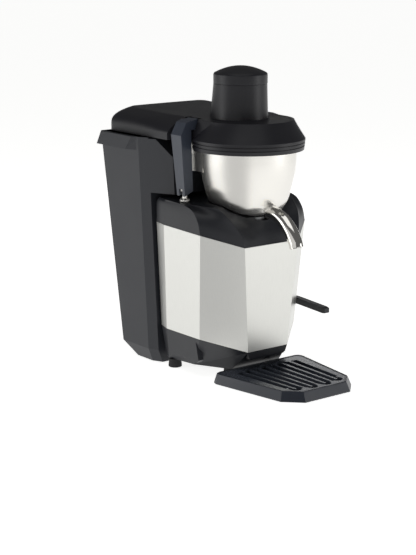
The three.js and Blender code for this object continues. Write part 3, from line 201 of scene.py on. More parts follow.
def polished_stainless(name, colour, roughness, drawn_out):
    """Spun stainless, buffed bright: reflections smeared up and down, across the fine marks that
    run around the turning, with a few duller patches where juice has dried and been wiped."""
    material, shader = new_surface(name, Metallic=1.0, Anisotropic=drawn_out)
    around = add_node(material, "ShaderNodeTangent", direction_type="RADIAL", axis="Z")
    link(material, around.outputs["Tangent"], shader.inputs["Tangent"])
    rings = drawn_grain(material, 40, 1.2, 2)
    place = add_node(material, "ShaderNodeTexCoord")
    stains = add_node(material, "ShaderNodeTexNoise",
                      {"Scale": per_metre(35), "Detail": 5.0, "Roughness": 0.7},
                      {"Vector": place.outputs["Object"]})
    rough = roughness_range(material, roughness - 0.01, roughness + 0.02, stains)
    low, high = shade_range(colour, 0.98, 1.02)
    tint = add_node(material, "ShaderNodeMix", {"A": low, "B": high}, {"Factor": rings.outputs["Fac"]},
                    data_type="RGBA")
    bump = add_node(material, "ShaderNodeBump", {"Strength": 0.02, "Distance": 0.01 * MM},
                    {"Height": rings.outputs["Fac"]})
    link(material, tint.outputs["Result"], shader.inputs["Base Color"])
    link(material, rough.outputs["Result"], shader.inputs["Roughness"])
    link(material, bump.outputs["Normal"], shader.inputs["Normal"])
    return material


def plain_textured(name, colour, roughness, metallic, grain_mm, depth_mm):
    """Castings, rubber and lacquer: one colour broken up by an even grain of a given size."""
    material, shader = new_surface(name, Metallic=metallic)
    place = add_node(material, "ShaderNodeTexCoord")
    grain = add_node(material, "ShaderNodeTexNoise", {"Scale": per_metre(grain_mm), "Detail": 4.0},
                     {"Vector": place.outputs["Object"]})
    low, high = shade_range(colour, 0.8, 1.2)
    tint = add_node(material, "ShaderNodeMix", {"A": low, "B": high}, {"Factor": grain.outputs["Fac"]},
                    data_type="RGBA")
    rough = roughness_range(material, roughness - 0.07, roughness + 0.07, grain)
    bump = add_node(material, "ShaderNodeBump", {"Strength": 0.4, "Distance": depth_mm * MM},
                    {"Height": grain.outputs["Fac"]})
    link(material, tint.outputs["Result"], shader.inputs["Base Color"])
    link(material, rough.outputs["Result"], shader.inputs["Roughness"])
    link(material, bump.outputs["Normal"], shader.inputs["Normal"])
    return material


def finish_for(slot):
    """The finish of one of the record's material slots, made the first time it is asked for."""
    colours = bpy.context.scene.juicer_colours
    recipes = {
        "black_plastic": lambda: moulded_plastic("moulded_abs_black", colours.housing, 0.42, 1.0, 0.4),
        "lid_plastic": lambda: moulded_plastic("moulded_abs_lid", colours.lid, 0.40, 1.2, 0.35),
        "bin_plastic": lambda: moulded_plastic("moulded_abs_bin", colours.bin, 0.45, 1.4, 0.4),
        "arm_plastic": lambda: moulded_plastic("moulded_nylon_arm", colours.arms, 0.38, 1.0, 0.5),
        "tray_plastic": lambda: moulded_plastic("moulded_abs_tray", colours.tray, 0.36, 1.2, 0.5),
        # A lighter, glossier copy of the tray's plastic; its lighter grey is painted highlight on the rib
        # tops.
        "grid_plastic": lambda: moulded_plastic("moulded_abs_grid", colours.grid, 0.26, 1.2, 0.8),
        "brushed_steel": lambda: brushed_stainless("stainless_brushed_panel", colours.panel, 0.34, 2),
        "polished_steel": lambda: polished_stainless("stainless_polished_bowl", colours.bowl, 0.26, 0.8),
        "bright_spout": lambda: polished_stainless("stainless_mirror_spout", colours.bowl, 0.09, 0.0),
        "dark_steel": lambda: brushed_stainless("steel_rolled_zinc_plated", "#8C8E90", 0.42, 0),
        "cast_aluminium": lambda: plain_textured("aluminium_die_cast", "#A4A6A8", 0.5, 1.0, 1.5, 0.08),
        "rubber": lambda: plain_textured("rubber_moulded_black", "#1C1C1D", 0.75, 0.0, 1.0, 0.05),
        "food_rubber": lambda: plain_textured("silicone_moulded_seal", "#CFCBC2", 0.6, 0.0, 1.0, 0.03),
        "copper": lambda: plain_textured("copper_enamelled_winding", "#A8693C", 0.35, 1.0, 0.8, 0.2),
        "circuit_board": lambda: plain_textured("glass_epoxy_board", "#2F5A3A", 0.4, 0.0, 2.0, 0.05),
        "green_button": lambda: moulded_plastic("moulded_abs_green_button", "#2F8A4A", 0.35, 1.0, 0.5),
        "red_button": lambda: moulded_plastic("moulded_abs_red_button", "#A92D2A", 0.35, 1.0, 0.5),
    }
    key = "juicer_" + slot
    if key not in bpy.context.scene:
        bpy.context.scene[key] = recipes[slot]().name
    return bpy.data.materials[bpy.context.scene[key]]


SLOT_OF = {entry["node"]: entry["material_slot"] for entry in frame["record"]["subparts"]}
BODY_OF = {node: body for body, nodes in frame["record"]["behaviour"]["bodies"].items() for node in nodes}


# ---- Solids, in millimetres from the motor axis and the floor ---------------------------------
def spot(x, y, z):
    """A point given in millimetres from the motor axis and the floor, in the frame's metres."""
    return Vector((x * MM, y * MM + AXIS_Y, z * MM))


def new_piece(name, bm):
    """A mesh object made from a bmesh, with its faces turned outwards."""
    bmesh.ops.recalc_face_normals(bm, faces=bm.faces)
    mesh = bpy.data.meshes.new(name)
    bm.to_mesh(mesh)
    bm.free()
    piece = bpy.data.objects.new(name, mesh)
    bpy.context.scene.collection.objects.link(piece)
    return piece


def loft(rings, slatted=False):
    """A solid through rings of equally many (x, y, z) points, closed by one face at each end.

    A slatted one is closed by strips from side to side instead, so that its ends may be curved;
    its rings run from the front centre to the rear centre and back."""
    bm = bmesh.new()
    levels = [[bm.verts.new(spot(*point)) for point in ring] for ring in rings]
    count = len(levels[0])
    for low, high in zip(levels, levels[1:]):
        for i in range(count):
            j = (i + 1) % count
            bm.faces.new((low[i], low[j], high[j], high[i]))
    for end in (levels[0][::-1], levels[-1]):
        if not slatted:
            bm.faces.new(end)
            continue
        for i in range(count // 2):
            strip = (end[i], end[i + 1], end[-i - 1], end[-i % count])
            bm.faces.new(list(dict.fromkeys(strip)))
    return new_piece("blank", bm)


def turning(profile, x=0.0, y=0.0, steps=None):
    """A profile of (radius, height) turned about a vertical axis; a closed one repeats its start."""
    steps = steps or bpy.context.scene.juicer_sizes.turn_steps
    bm = bmesh.new()
    closed = tuple(profile[0]) == tuple(profile[-1])
    rings = []
    for radius, height in profile[:-1] if closed else profile:
        if radius < 1e-6:
            rings.append([bm.verts.new(spot(x, y, height))])
            continue
        angles = [2 * math.pi * i / steps for i in range(steps)]
        rings.append([bm.verts.new(spot(x + radius * math.cos(a), y + radius * math.sin(a), height))
                      for a in angles])
    pairs = list(zip(rings, rings[1:])) + ([(rings[-1], rings[0])] if closed else [])
    for low, high in pairs:
        for i in range(steps):
            corners = (low[i % len(low)], low[(i + 1) % len(low) if len(low) > 1 else 0],
                       high[(i + 1) % len(high) if len(high) > 1 else 0], high[i % len(high)])
            face = list(dict.fromkeys(corners))
            if len(face) > 2:
                bm.faces.new(face)
    return new_piece("blank", bm)


def drum(radius, low, high, x=0.0, y=0.0, steps=48):
    return turning([(0, low), (radius, low), (radius, high), (0, high)], x, y, steps)


def block(low, high):
    corners = [(low[0], low[1]), (high[0], low[1]), (high[0], high[1]), (low[0], high[1])]
    return loft([[(x, y, z) for x, y in corners] for z in (low[2], high[2])])


def sweep(centres, radii, steps=32):
    """A round solid along a line of points, each with its own radius."""
    bm = bmesh.new()
    path = [spot(*c) for c in centres]
    rings = []
    for i, centre in enumerate(path):
        ahead = (path[min(i + 1, len(path) - 1)] - path[max(i - 1, 0)]).normalized()
        across = ahead.cross(Vector((0.0, 0.0, 1.0)))
        side = Vector((1.0, 0.0, 0.0)) if abs(ahead.x) < 0.5 else across.normalized()
        side = (side - ahead * side.dot(ahead)).normalized()
        up = side.cross(ahead)
        turn = [2 * math.pi * j / steps for j in range(steps)]
        rings.append([bm.verts.new(centre + (side * math.cos(a) + up * math.sin(a)) * radii[i] * MM)
                      for a in turn])
    for low, high in zip(rings, rings[1:]):
        for j in range(steps):
            k = (j + 1) % steps
            bm.faces.new((low[j], low[k], high[k], high[j]))
    bm.faces.new(rings[0][::-1])
    bm.faces.new(rings[-1])
    return new_piece("blank", bm)


def bar(radius, start, end, steps=48):
    return sweep([start, end], [radius, radius], steps)


def apply_modifiers(piece):
    """Turns the piece's modifiers into plain mesh."""
    bpy.context.view_layer.update()
    graph = bpy.context.evaluated_depsgraph_get()
    result = bpy.data.meshes.new_from_object(piece.evaluated_get(graph))
    piece.modifiers.clear()
    old, piece.data = piece.data, result
    bpy.data.meshes.remove(old)


def combine(piece, operation, *others):
    """Joins, cuts or keeps the overlap of solids, and uses the others up."""
    for other in others:
        boolean = piece.modifiers.new("combine", "BOOLEAN")
        boolean.operation = operation
        boolean.solver = "MANIFOLD"
        boolean.object = other
    apply_modifiers(piece)
    for other in others:
        mesh = other.data
        bpy.data.objects.remove(other)
        bpy.data.meshes.remove(mesh)
    if not piece.data.polygons:
        raise RuntimeError(f"nothing is left of {piece.name} after {operation.lower()}")
    return piece


def cut(piece, *others):
    return combine(piece, "DIFFERENCE", *others)


def join(piece, *others):
    return combine(piece, "UNION", *others)


def mirror(piece):
    """The same solid on the other side of the machine."""
    bm = bmesh.new()
    bm.from_mesh(piece.data)
    for vertex in bm.verts:
        vertex.co.x = -vertex.co.x
    bmesh.ops.reverse_faces(bm, faces=bm.faces)
    return new_piece("blank", bm)


def both_sides(half):
    """A right-hand half outline, listed from front to rear, becomes the whole outline."""
    left = [p for p in reversed(half) if p[0] > 1e-6]
    return list(half) + [(-p[0], *p[1:]) for p in left]


def raised(outline, z):
    return [(p[0], p[1], z) for p in outline]


def inset(outline, distance):
    """Every side of a convex outline moves inwards; heights stay."""
    result = []
    for i, here in enumerate(outline):
        before, after = outline[i - 1], outline[(i + 1) % len(outline)]
        a = Vector((here[0] - before[0], here[1] - before[1])).normalized()
        b = Vector((after[0] - here[0], after[1] - here[1])).normalized()
        reach = distance / (1 + a.dot(b))
        result.append((here[0] - (a.y + b.y) * reach, here[1] + (a.x + b.x) * reach, here[2]))
    return result


def curve_point(points, share):
    """A point of the smooth curve through some points, at a share of its spans."""
    spots = [Vector(p) for p in points]
    last = len(spots) - 1
    place = share * last
    i = min(int(place), last - 1)
    w = place - i
    b, c = spots[i], spots[i + 1]
    a = spots[i - 1] if i > 0 else b * 2 - c
    d = spots[i + 2] if i + 2 <= last else c * 2 - b
    ab, bc, cd = [max((q - p).length, 1e-4) ** 0.5 for p, q in ((a, b), (b, c), (c, d))]
    leave = ((b - a) / ab - (c - a) / (ab + bc) + (c - b) / bc) * bc
    arrive = ((c - b) / bc - (d - b) / (bc + cd) + (d - c) / cd) * bc
    return (b * (2 * w ** 3 - 3 * w ** 2 + 1) + leave * (w ** 3 - 2 * w ** 2 + w)
            + c * (3 * w ** 2 - 2 * w ** 3) + arrive * (w ** 3 - w ** 2))


def curve(points, steps):
    return [tuple(curve_point(points, i / steps)) for i in range(steps + 1)]


def soften(piece, radius, segments=3, sharp=30.0):
    """Joins flat faces, rounds the edges sharper than an angle and shades the rest smooth."""
    bm = bmesh.new()
    bm.from_mesh(piece.data)
    bmesh.ops.remove_doubles(bm, verts=bm.verts, dist=0.004 * MM)
    bmesh.ops.dissolve_degenerate(bm, edges=bm.edges, dist=0.004 * MM)
    bmesh.ops.dissolve_limit(bm, angle_limit=math.radians(0.5), verts=bm.verts, edges=bm.edges)
    bm.to_mesh(piece.data)
    bm.free()
    if radius > 0:
        bevel = piece.modifiers.new("edges", "BEVEL")
        bevel.width = radius
        bevel.segments = segments
        bevel.limit_method = "ANGLE"
        bevel.angle_limit = math.radians(sharp)
    weigh = piece.modifiers.new("normals", "WEIGHTED_NORMAL")
    weigh.keep_sharp = True
    piece.data.shade_smooth()
    apply_modifiers(piece)
    return piece


def place(piece, name, node, finish=None):
    """Names a finished piece and puts it in the place of its CAD node."""
    piece.name = name
    piece.data.name = name
    piece.data.materials.clear()
    piece.data.materials.append(finish_for(finish or SLOT_OF[node]))
    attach(piece, BODY_OF[node])
    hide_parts(node)


def refine(node, radius, segments=3, sharp=28.0, finish=None):
    """A finer piece made from a CAD node's own solid, with its edges rounded."""
    bm = bmesh.new()
    bm.from_mesh(frame["nodes"][node].data)
    piece = soften(new_piece("blank", bm), radius, segments, sharp)
    place(piece, node + "_fine", node, finish)


# ---- Levels that the pieces share -------------------------------------------------------------
DECK = 332.0
BOWL_BASE = 305.0
BOWL_RIM = 440.0
BOWL_RADIUS = 89.7
BOWL_WALL = 1.5
COVER_WALL = 4.0
LID_TOP = 484.0
LID_SKIRT = 445.6
LID_RIM = BOWL_RIM - 11.3
LID_RADIUS = 106.3
LID_REAR = 276.0
LEDGE = LID_TOP - 18
TUBE_Y = 23.8
TUBE_RADIUS = 50.0
TUBE_BORE = 40.0
TUBE_TOP = 548.0
BASKET_BASE = BOWL_BASE + 34.5
OUTLET_HALF_WIDTH = BOWL_RADIUS - 6
OUTLET_FLOOR = BASKET_BASE + 48
OUTLET_END = 88.0
ROD_X, ROD_Y = 105.0, 57.0
NOTCH_FRONT, NOTCH_REAR = 45.0, 80.0
BOWL_SIDE = [(r, BOWL_BASE + h) for r, h in (
    (45, 3), (60.4, 8.4), (67.3, 15.5), (73.9, 26), (80.9, 48), (86.5, 74), (89.2, 96), (90, 122))]
SPOUT_RADIUS, SPOUT_WALL = 13.0, 1.5
SPOUT_LINE = [(0, -67.3, 318.5), (0, -83.3, 315.5), (0, -104.3, 306.5), (0, -124.3, 289.5),
              (0, -137.3, 270.5), (0, -140.3, 262.5)]


def bowl_curve(steps=48):
    """The bowl's outside from its foot to its rim, as (radius, height)."""
    points = [(r, 0.0, z) for r, z in BOWL_SIDE]
    return [(p[0], p[2]) for p in curve(points, steps)]


def bowl_space(grow):
    """The space that the bowl takes, a given distance larger all round."""
    side = [(r + grow, z - grow * 0.4) for r, z in bowl_curve()]
    low = BOWL_BASE - grow
    return turning([(0, low), (BOWL_SIDE[0][0] - 4 + grow, low), *side, (side[-1][0], BOWL_RIM + 9),
                    (0, BOWL_RIM + 9)])


def spout_line(before, beyond):
    """The spout's centre line, run on by some distance at each end."""
    points = [(0, SPOUT_LINE[0][1] + before, SPOUT_LINE[0][2] + 0.4), *SPOUT_LINE[1:-1],
              (0, SPOUT_LINE[-1][1], SPOUT_LINE[-1][2] - beyond)]
    return curve(points, 60)


def pipe(radius, before, beyond=0.0):
    line = spout_line(before, beyond)
    return sweep(line, [radius] * len(line), 64)


# ---- Pieces -----------------------------------------------------------------------------------
def make_top_cover():
    """A skin through lines that climb from the panels' top edge to the deck, hollowed for the bowl."""
    front, side, rear, chamfer = (64.77, -71, 258.5), (127, -18, 281), (127, 94, 284.5), (119, 128, 284.5)

    def off(start, x, y, z):
        return (start[0] + x, start[1] + y, start[2] + z)

    lines = [
        [(0, -71, 258.5), (0, -61, DECK - 52), (0, -46, DECK - 25)],
        [(33, -71, 258.5), (36, -62, DECK - 52), (40, -44, DECK - 24)],
        [front, off(front, 5.4, 5, 24), off(front, 17, 22, 50.5), off(front, 25, 48, 69.5)],
        [side, off(side, 0, 7, 23), off(side, -0.5, 24, 42), off(side, -1, 50, 49), off(side, -1, 78, 51)],
        [rear, off(rear, -1, 0, 41.5), off(rear, -4, -1, 47.5)],
        [chamfer, off(chamfer, -1, -1, 41.5), off(chamfer, -4, -4, 47.5)],
        [(0, 128, 284.5), (0, 127, DECK - 6), (0, 124, DECK)],
    ]

    def ring(share, shrink=0.0):
        middle, beside, ridge, cheek, *back = [curve_point(line, share) for line in lines]
        scoop = [middle.lerp(beside, i / 6) for i in range(6)]
        scoop += [beside.lerp(ridge, i / 6) for i in range(6)]
        fender = [ridge.lerp(cheek, i / 12) for i in range(12)]
        half = [tuple(p) for p in (*scoop, *fender, cheek, *back)]
        outline = both_sides(half)
        if not shrink:
            return outline
        centre = Vector((0, 30))
        shrunk = []
        for x, y, z in outline:
            reach = Vector((x, y)) - centre
            reach *= (reach.length - shrink) / reach.length
            shrunk.append((centre.x + reach.x, centre.y + reach.y, z - shrink))
        return shrunk

    shares = [i / 24 for i in range(25)]
    rings = [ring(share) for share in shares]
    rings[0] = [(x, y, z + 0.3) for x, y, z in rings[0]]
    inside = [ring(share, COVER_WALL) for share in shares]
    below = [(x, y, z - 20) for x, y, z in inside[0]]
    cover = cut(loft(rings), loft([below, *inside]), bowl_space(1.6))
    # A rounded notch in the scoop keeps the cover clear of the spout's root.
    notch = join(bar(9.5, (-11, -80, 296), (-11, -38, 296)), block((-20.5, -80, 296), (-1.5, -38, 330)))
    notch = join(notch, mirror(notch), block((-11, -80, 286.5), (11, -38, 330)))
    pocket = combine(notch, "INTERSECT", bowl_space(7.5))
    for side_x in (-ROD_X, ROD_X):
        cover = cut(cover, drum(8, DECK - 20, DECK + 5, side_x, ROD_Y))
    cover = soften(cut(cover, pocket), bpy.context.scene.juicer_sizes.plastic_edge * 0.8, 3, 24)
    place(cover, "top_cover_fine", "top_cover")


def make_bowl():
    """The spun bowl with its rim, its centre collar, the spout's hole and the chute to the bin."""
    outer = bowl_curve()
    inner = [(r - BOWL_WALL, z + 0.6) for r, z in reversed(outer)]
    rim, foot = outer[-1][0], BOWL_SIDE[0][0] - 4
    lip = rim + 5
    collar, collar_top = 13.0, BOWL_BASE + 17
    shell = turning([(collar, BOWL_BASE), (foot, BOWL_BASE), *outer, (rim, BOWL_RIM - 2),
                     (lip, BOWL_RIM - 2), (lip, BOWL_RIM), (rim - BOWL_WALL, BOWL_RIM), *inner,
                     (foot - 1, BOWL_BASE + BOWL_WALL),
                     (collar + BOWL_WALL, BOWL_BASE + BOWL_WALL), (collar + BOWL_WALL, collar_top),
                     (collar, collar_top), (collar, BOWL_BASE)])
    chute = block((-OUTLET_HALF_WIDTH, 30, OUTLET_FLOOR), (OUTLET_HALF_WIDTH, OUTLET_END, BOWL_RIM))
    mouth = block((-OUTLET_HALF_WIDTH + BOWL_WALL, 20, OUTLET_FLOOR + BOWL_WALL),
                  (OUTLET_HALF_WIDTH - BOWL_WALL, OUTLET_END + 20, BOWL_RIM + 5))
    open_inner = [(r, z) for r, z in reversed(inner) if z > BOWL_BASE + 20]
    interior = turning([(0, open_inner[0][1]), *open_inner, (rim - BOWL_WALL, BOWL_RIM + 5),
                        (0, BOWL_RIM + 5)])
    rear = block((-120, OUTLET_END, OUTLET_FLOOR - 40), (120, OUTLET_END + 40, BOWL_RIM + 5))
    shell = join(shell, cut(chute, interior))
    shell = cut(shell, mouth, rear, pipe(SPOUT_RADIUS - SPOUT_WALL, 14, 2))
    place(soften(shell, 0.3 * MM, 2, 40), "bowl_fine", "bowl")


def make_spout():
    """The bent spout, and the bead of weld around its root."""
    tube = cut(pipe(SPOUT_RADIUS, 12), pipe(SPOUT_RADIUS - SPOUT_WALL, 14, 2), bowl_space(0.3))
    place(soften(tube, 0.5 * MM, 3, 40), "juice_spout_fine", "juice_spout", "bright_spout")
    # The weld's bead follows the line where the tube meets the bowl.
    line = [Vector(p) for p in spout_line(12, 0)]
    wall = bowl_curve(96)

    def outside(p):
        radius = min((abs(z - p.z), r) for r, z in wall)[1]
        return math.hypot(p.x, p.y) - radius

    bead_steps, bead_sides, ripples = 72, 12, 36
    bead = []
    for j in range(bead_steps):
        angle = 2 * math.pi * j / bead_steps
        across = Vector((math.cos(angle), 0, math.sin(angle))) * (SPOUT_RADIUS + 0.2)
        spots = [p + across for p in line]
        near = next(i for i, p in enumerate(spots) if outside(p) > 0)
        a, b = outside(spots[near - 1]), outside(spots[near])
        bead.append(spots[near - 1].lerp(spots[near], -a / (b - a)))
    bm = bmesh.new()
    rings = []
    for j, centre in enumerate(bead):
        ahead = (bead[(j + 1) % bead_steps] - bead[j - 1]).normalized()
        out = (centre - line[0] - Vector((0, (centre - line[0]).y, 0))).normalized()
        up = ahead.cross(out).normalized()
        thick = 1.15 + 0.12 * math.sin(j * ripples * 2 * math.pi / bead_steps)
        rings.append([bm.verts.new(spot(*(centre + (out * math.cos(a) + up * math.sin(a)) * thick)))
                      for a in (2 * math.pi * k / bead_sides for k in range(bead_sides))])
    for j in range(bead_steps):
        low, high = rings[j], rings[(j + 1) % bead_steps]
        for k in range(bead_sides):
            after = (k + 1) % bead_sides
            bm.faces.new((low[k], low[after], high[after], high[k]))
    weld = new_piece("spout_weld", bm)
    weld.data.shade_smooth()
    weld.data.materials.append(finish_for("polished_steel"))
    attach(weld, BODY_OF["juice_spout"])


def make_lid():
    """The lid: a cone around the bowl that runs back over the bin, a grooved rim and the feed tube."""
    half = LID_RADIUS - 21.3

    def arc(radius, last):
        angles = [-math.pi / 2 + i / 44 * (last + math.pi / 2) for i in range(45)]
        return [(radius * math.cos(a), radius * math.sin(a), 0) for a in angles]

    def plateau_height(y):
        return LID_TOP + 7 * min(max(y / (LID_REAR - 19), 0), 1)

    # Both outlines run from the front centre to the rear centre, point against point.
    edge_outline = both_sides([*arc(LID_RADIUS, math.asin(NOTCH_FRONT / LID_RADIUS)),
                               (97, 80, 0), (125, 85, 0),
                               *((125, y, 0) for y in (110, 135, 160, 185, 210, 235, 260)), (124, 268, 0),
                               (121, 273.5, 0), (114, 276, 0), (60, 278, 0), (0, LID_REAR + 3, 0)])
    top_outline = both_sides([*arc(half, 0), (half, 80, 0), (half, 86, 0),
                              *((half + (y - 86) * 0.03, y, 0)
                                for y in (110, 133, 156, 180, 203, 225, 241)),
                              (half + 3.5, 248, 0), (half, 253.5, 0), (half - 7, 257, 0), (50, 258.5, 0),
                              (0, 259, 0)])
    skirt = raised(edge_outline, LID_SKIRT)
    edge = [(x, y, LID_SKIRT + 3.5 + (9 if y > NOTCH_FRONT + 1 else 0)) for x, y, _ in edge_outline]
    top = [(x, y, plateau_height(y)) for x, y, _ in top_outline]

    def between(share):
        """A ring between edge and plateau: straight at the front, bulging over the pulp bin."""
        ring = []
        for low, high in zip(edge, top):
            bulge = min(max((low[1] - 60) / 110, 0), 1)
            inward = share ** (1 + 1.7 * bulge)
            ring.append((low[0] + (high[0] - low[0]) * inward, low[1] + (high[1] - low[1]) * inward,
                         low[2] + (high[2] - low[2]) * share))
        return ring

    flanks = [between(share) for share in (0.14, 0.28, 0.42, 0.56, 0.68, 0.78, 0.87, 0.94)]
    rim = turning([(98, LID_RIM), (LID_RADIUS - 2.2, LID_RIM), (LID_RADIUS - 1.2, LID_RIM + 7),
                   (LID_RADIUS - 3, LID_RIM + 7.5), (LID_RADIUS - 3, LID_RIM + 9.2),
                   (LID_RADIUS - 0.7, LID_RIM + 9.7), (LID_RADIUS - 0.7, LID_RIM + 13.6),
                   (LID_RADIUS - 2.2, LID_RIM + 14.1), (LID_RADIUS - 2.2, LID_RIM + 15.3),
                   (LID_RADIUS - 0.6, LID_RIM + 15.8), (LID_RADIUS - 0.6, LID_SKIRT + 1),
                   (98, LID_SKIRT + 1), (98, LID_RIM)])
    rim = cut(rim, block((-200, OUTLET_END - 2, LID_RIM - 5), (200, 200, LID_SKIRT)),
              block((-OUTLET_HALF_WIDTH - 2, 20, LID_RIM - 5), (OUTLET_HALF_WIDTH + 2, 200, LID_SKIRT + 5)))
    hollow_low = both_sides([*arc(98, 0), (BOWL_RADIUS - 3, 80, 0), (121, 90, 0), (121, 272, 0),
                             (0, 273, 0)])
    hollow_top = both_sides([*arc(half - 8, 0), (half - 8, 80, 0), (half - 4, 90, 0), (half - 4, 250, 0),
                             (0, 252, 0)])
    hollow = loft([raised(hollow_low, LID_SKIRT - 1),
                   [(x, y, plateau_height(y) - 4) for x, y, _ in hollow_top]])
    ledge = block((half - 11, NOTCH_FRONT - 3, LEDGE), (LID_RADIUS + 20, NOTCH_REAR - 0.5, LID_TOP + 20))
    # The clamp arms rise past the rim's corner here.
    relief = block((ROD_X - 10.8, NOTCH_FRONT - 2.5, LID_RIM - 5),
                   (LID_RADIUS + 20, NOTCH_REAR - 0.5, LEDGE + 1))
    body = join(loft([skirt, edge, *flanks, top], slatted=True), rim)
    body = cut(body, hollow, mirror(ledge), ledge, mirror(relief), relief)

    def tube_ring(radius, stretch, z):
        angles = [2 * math.pi * i / 128 for i in range(128)]
        return [(radius * math.cos(a),
                 TUBE_Y + radius * math.sin(a) + stretch * max(0, math.sin(a)) ** 0.5, z) for a in angles]

    # How much wider than its top, how far drawn out to the rear, and how high above the plateau
    levels = [(3.4, 12, -4), (3.2, 11.5, -1), (2.4, 10, 3), (1.9, 8.5, 8), (1.3, 7, 16), (0.6, 4, 40),
              (0, 1, 64)]
    chimney = loft([tube_ring(TUBE_RADIUS + wide, stretch, LID_TOP + z) for wide, stretch, z in levels])
    chute = drum(TUBE_BORE + 3, BASKET_BASE + 24, LID_TOP - 3, 0, TUBE_Y, 96)
    body = cut(join(body, chimney, chute), drum(TUBE_BORE, BASKET_BASE, TUBE_TOP + 5, 0, TUBE_Y, 96))
    place(soften(body, bpy.context.scene.juicer_sizes.plastic_edge, 4, 26), "lid_fine", "lid")


def make_pusher():
    """The pusher: a domed cap that sits over the tube, and its hollow stem."""
    radius, shoulder = TUBE_RADIUS + 0.6, TUBE_TOP + 18.4
    low = TUBE_TOP + 0.3
    outside = [(radius, low), (radius, shoulder - 1.6), (radius - 0.9, shoulder),
               (radius - 1.4, shoulder + 1.2)]
    outside += [((radius - 1.4) * (1 - i / 20), shoulder + 1.2 + 13.1 * (1 - (1 - i / 20) ** 2))
                for i in range(1, 21)]
    inside = [((radius - 4) * i / 10, shoulder + 10.3 - 11.5 * (i / 10) ** 2) for i in range(11)]
    cap = turning([*outside[::-1], (radius - 3, low), *inside[::-1]], 0, TUBE_Y)
    socket_in, socket_out = 39.1, 41.8
    socket = turning([(socket_in, low), (socket_out, low), (socket_out, shoulder + 1),
                      (socket_in, shoulder + 1), (socket_in, low)], 0, TUBE_Y)
    place(soften(join(cap, socket), 0.7 * MM, 3, 35), "pusher_cap_fine", "pusher_cap")
    stem_radius = TUBE_BORE - 1.2
    stem = turning([(0, BASKET_BASE + 27), (stem_radius - 2, BASKET_BASE + 27),
                    (stem_radius, BASKET_BASE + 29), (stem_radius, TUBE_TOP + 4),
                    (stem_radius - 3, TUBE_TOP + 4),
                    (stem_radius - 3, BASKET_BASE + 30), (0, BASKET_BASE + 30)], 0, TUBE_Y)
    place(soften(stem, 0.5 * MM, 2, 35), "pusher_stem_fine", "pusher_stem")


def make_drip_grid():
    """The grid: one slot winds to and fro between ribs that fan out a little to the rear."""
    tray_front, tray_rear, half = -223.4, -32.0, 103.6
    grid_low, top = 13.3, 19.7
    front, rear = tray_front + 19, tray_rear - 26
    pitch, width = 16.5, 4.6
    outline = both_sides([(half * 0.5, tray_front, 0), (half * 0.77, tray_front + 27, 0),
                          (half, tray_rear - 12, 0), (half - 3, tray_rear - 3, 0), (half - 11, tray_rear, 0)])

    def fanned(x, y):
        return x * (1 + 0.17 * (y - front) / (rear - front))

    def strip(x, wide, start, end, low=grid_low - 1, high=21.3):
        corners = [(x - wide / 2, start), (x + wide / 2, start), (x + wide / 2, end), (x - wide / 2, end)]
        return loft([[(fanned(cx, cy), cy, z) for cx, cy in corners] for z in (low, high)])

    def prism(shape, low, high):
        return loft([raised(shape, low), raised(shape, high)])

    plate = prism(inset(outline, 3.3), grid_low, top)
    slots = []
    for i in range(-4, 4):
        start = front + pitch if i in (-4, 3) else front
        slots.append(strip((i + 0.5) * pitch, pitch - width, start, rear))
    turns, ribs = [], []
    for i in range(-3, 4):
        at_rear = i % 2 == 0
        y = rear if at_rear else front + (6 if abs(i) == 3 else 0)
        turns.append(drum(pitch * 0.86 - 2, grid_low - 1, 21.3, fanned(i * pitch, y), y))
        ribs.append(drum(width / 2, grid_low, top, fanned(i * pitch, y), y, 24))
        rib = strip(i * pitch, width, y - 40 if at_rear else y, y if at_rear else y + 40, grid_low, top)
        ribs.append(combine(rib, "INTERSECT", prism(outline, grid_low, top)))
    plate = join(cut(plate, *slots, *turns), *ribs)
    # The grid's lighter grey is painted highlight on its rib tops.
    place(soften(plate, 0.9 * MM, 3, 35), "drip_grid_fine", "drip_grid", "grid_plastic")


def make_turned_fittings():
    """Feet and rod guides, turned finer than the frame's own."""
    for name in ("rear_right", "rear_left", "front_right", "front_left"):
        low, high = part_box("foot_" + name)
        x, y = (low.x + high.x) / 2 / MM, ((low.y + high.y) / 2 - AXIS_Y) / MM
        foot = turning([(5.5, 0), (12, 0), (13, 1), (13, 4), (11.5, 16.7), (2.6, 16.7), (2.6, 8),
                        (5.5, 8), (5.5, 0)], x, y, 48)
        place(soften(foot, 0.5 * MM, 2, 35), f"foot_{name}_fine", "foot_" + name)
    for side, name in ((1, "right"), (-1, "left")):
        guide = turning([(5.3, DECK - 12), (7.6, DECK - 12), (7.6, DECK), (10, DECK), (10, DECK + 3),
                         (7.5, DECK + 6), (5.3, DECK + 6), (5.3, DECK - 12)], side * ROD_X, ROD_Y, 48)
        place(soften(guide, 0.4 * MM, 2, 35), f"rod_guide_{name}_fine", "rod_guide_" + name)


def make_hand_lever():
    """A flat lever that tapers to the front, with a round boss on the cross shaft."""
    inner, outer = 129.0, 141.0
    axis_y, axis_z = 77.0, 118.0

    def section(y, z, half):
        return [(inner, y, z - half), (outer, y, z - half), (outer, y, z + half), (inner, y, z + half)]

    # Distance along y, drop below the shaft, half the height
    profile = [(axis_y, 0, 6.5), (40, -0.6, 6.3), (0, -2, 6.2), (-40, -4.4, 6.2), (-70, -6.2, 6.0),
               (-77, -6.6, 4.6)]
    limb = loft([section(y, axis_z + drop, half) for y, drop, half in profile])
    boss = bar(13, (inner, axis_y, axis_z), (outer, axis_y, axis_z), 64)
    bore = bar(7.2, (inner - 3, axis_y, axis_z), (outer - 0.7, axis_y, axis_z), 48)
    place(soften(cut(join(limb, boss), bore), 2.2 * MM, 4, 35), "hand_lever_fine", "hand_lever")


def finish_frame_nodes():
    """Gives every CAD node that stays in view its own finish."""
    for name, node in frame["nodes"].items():
        for holder in node.material_slots:
            holder.link = "OBJECT"
            holder.material = finish_for(SLOT_OF[name])


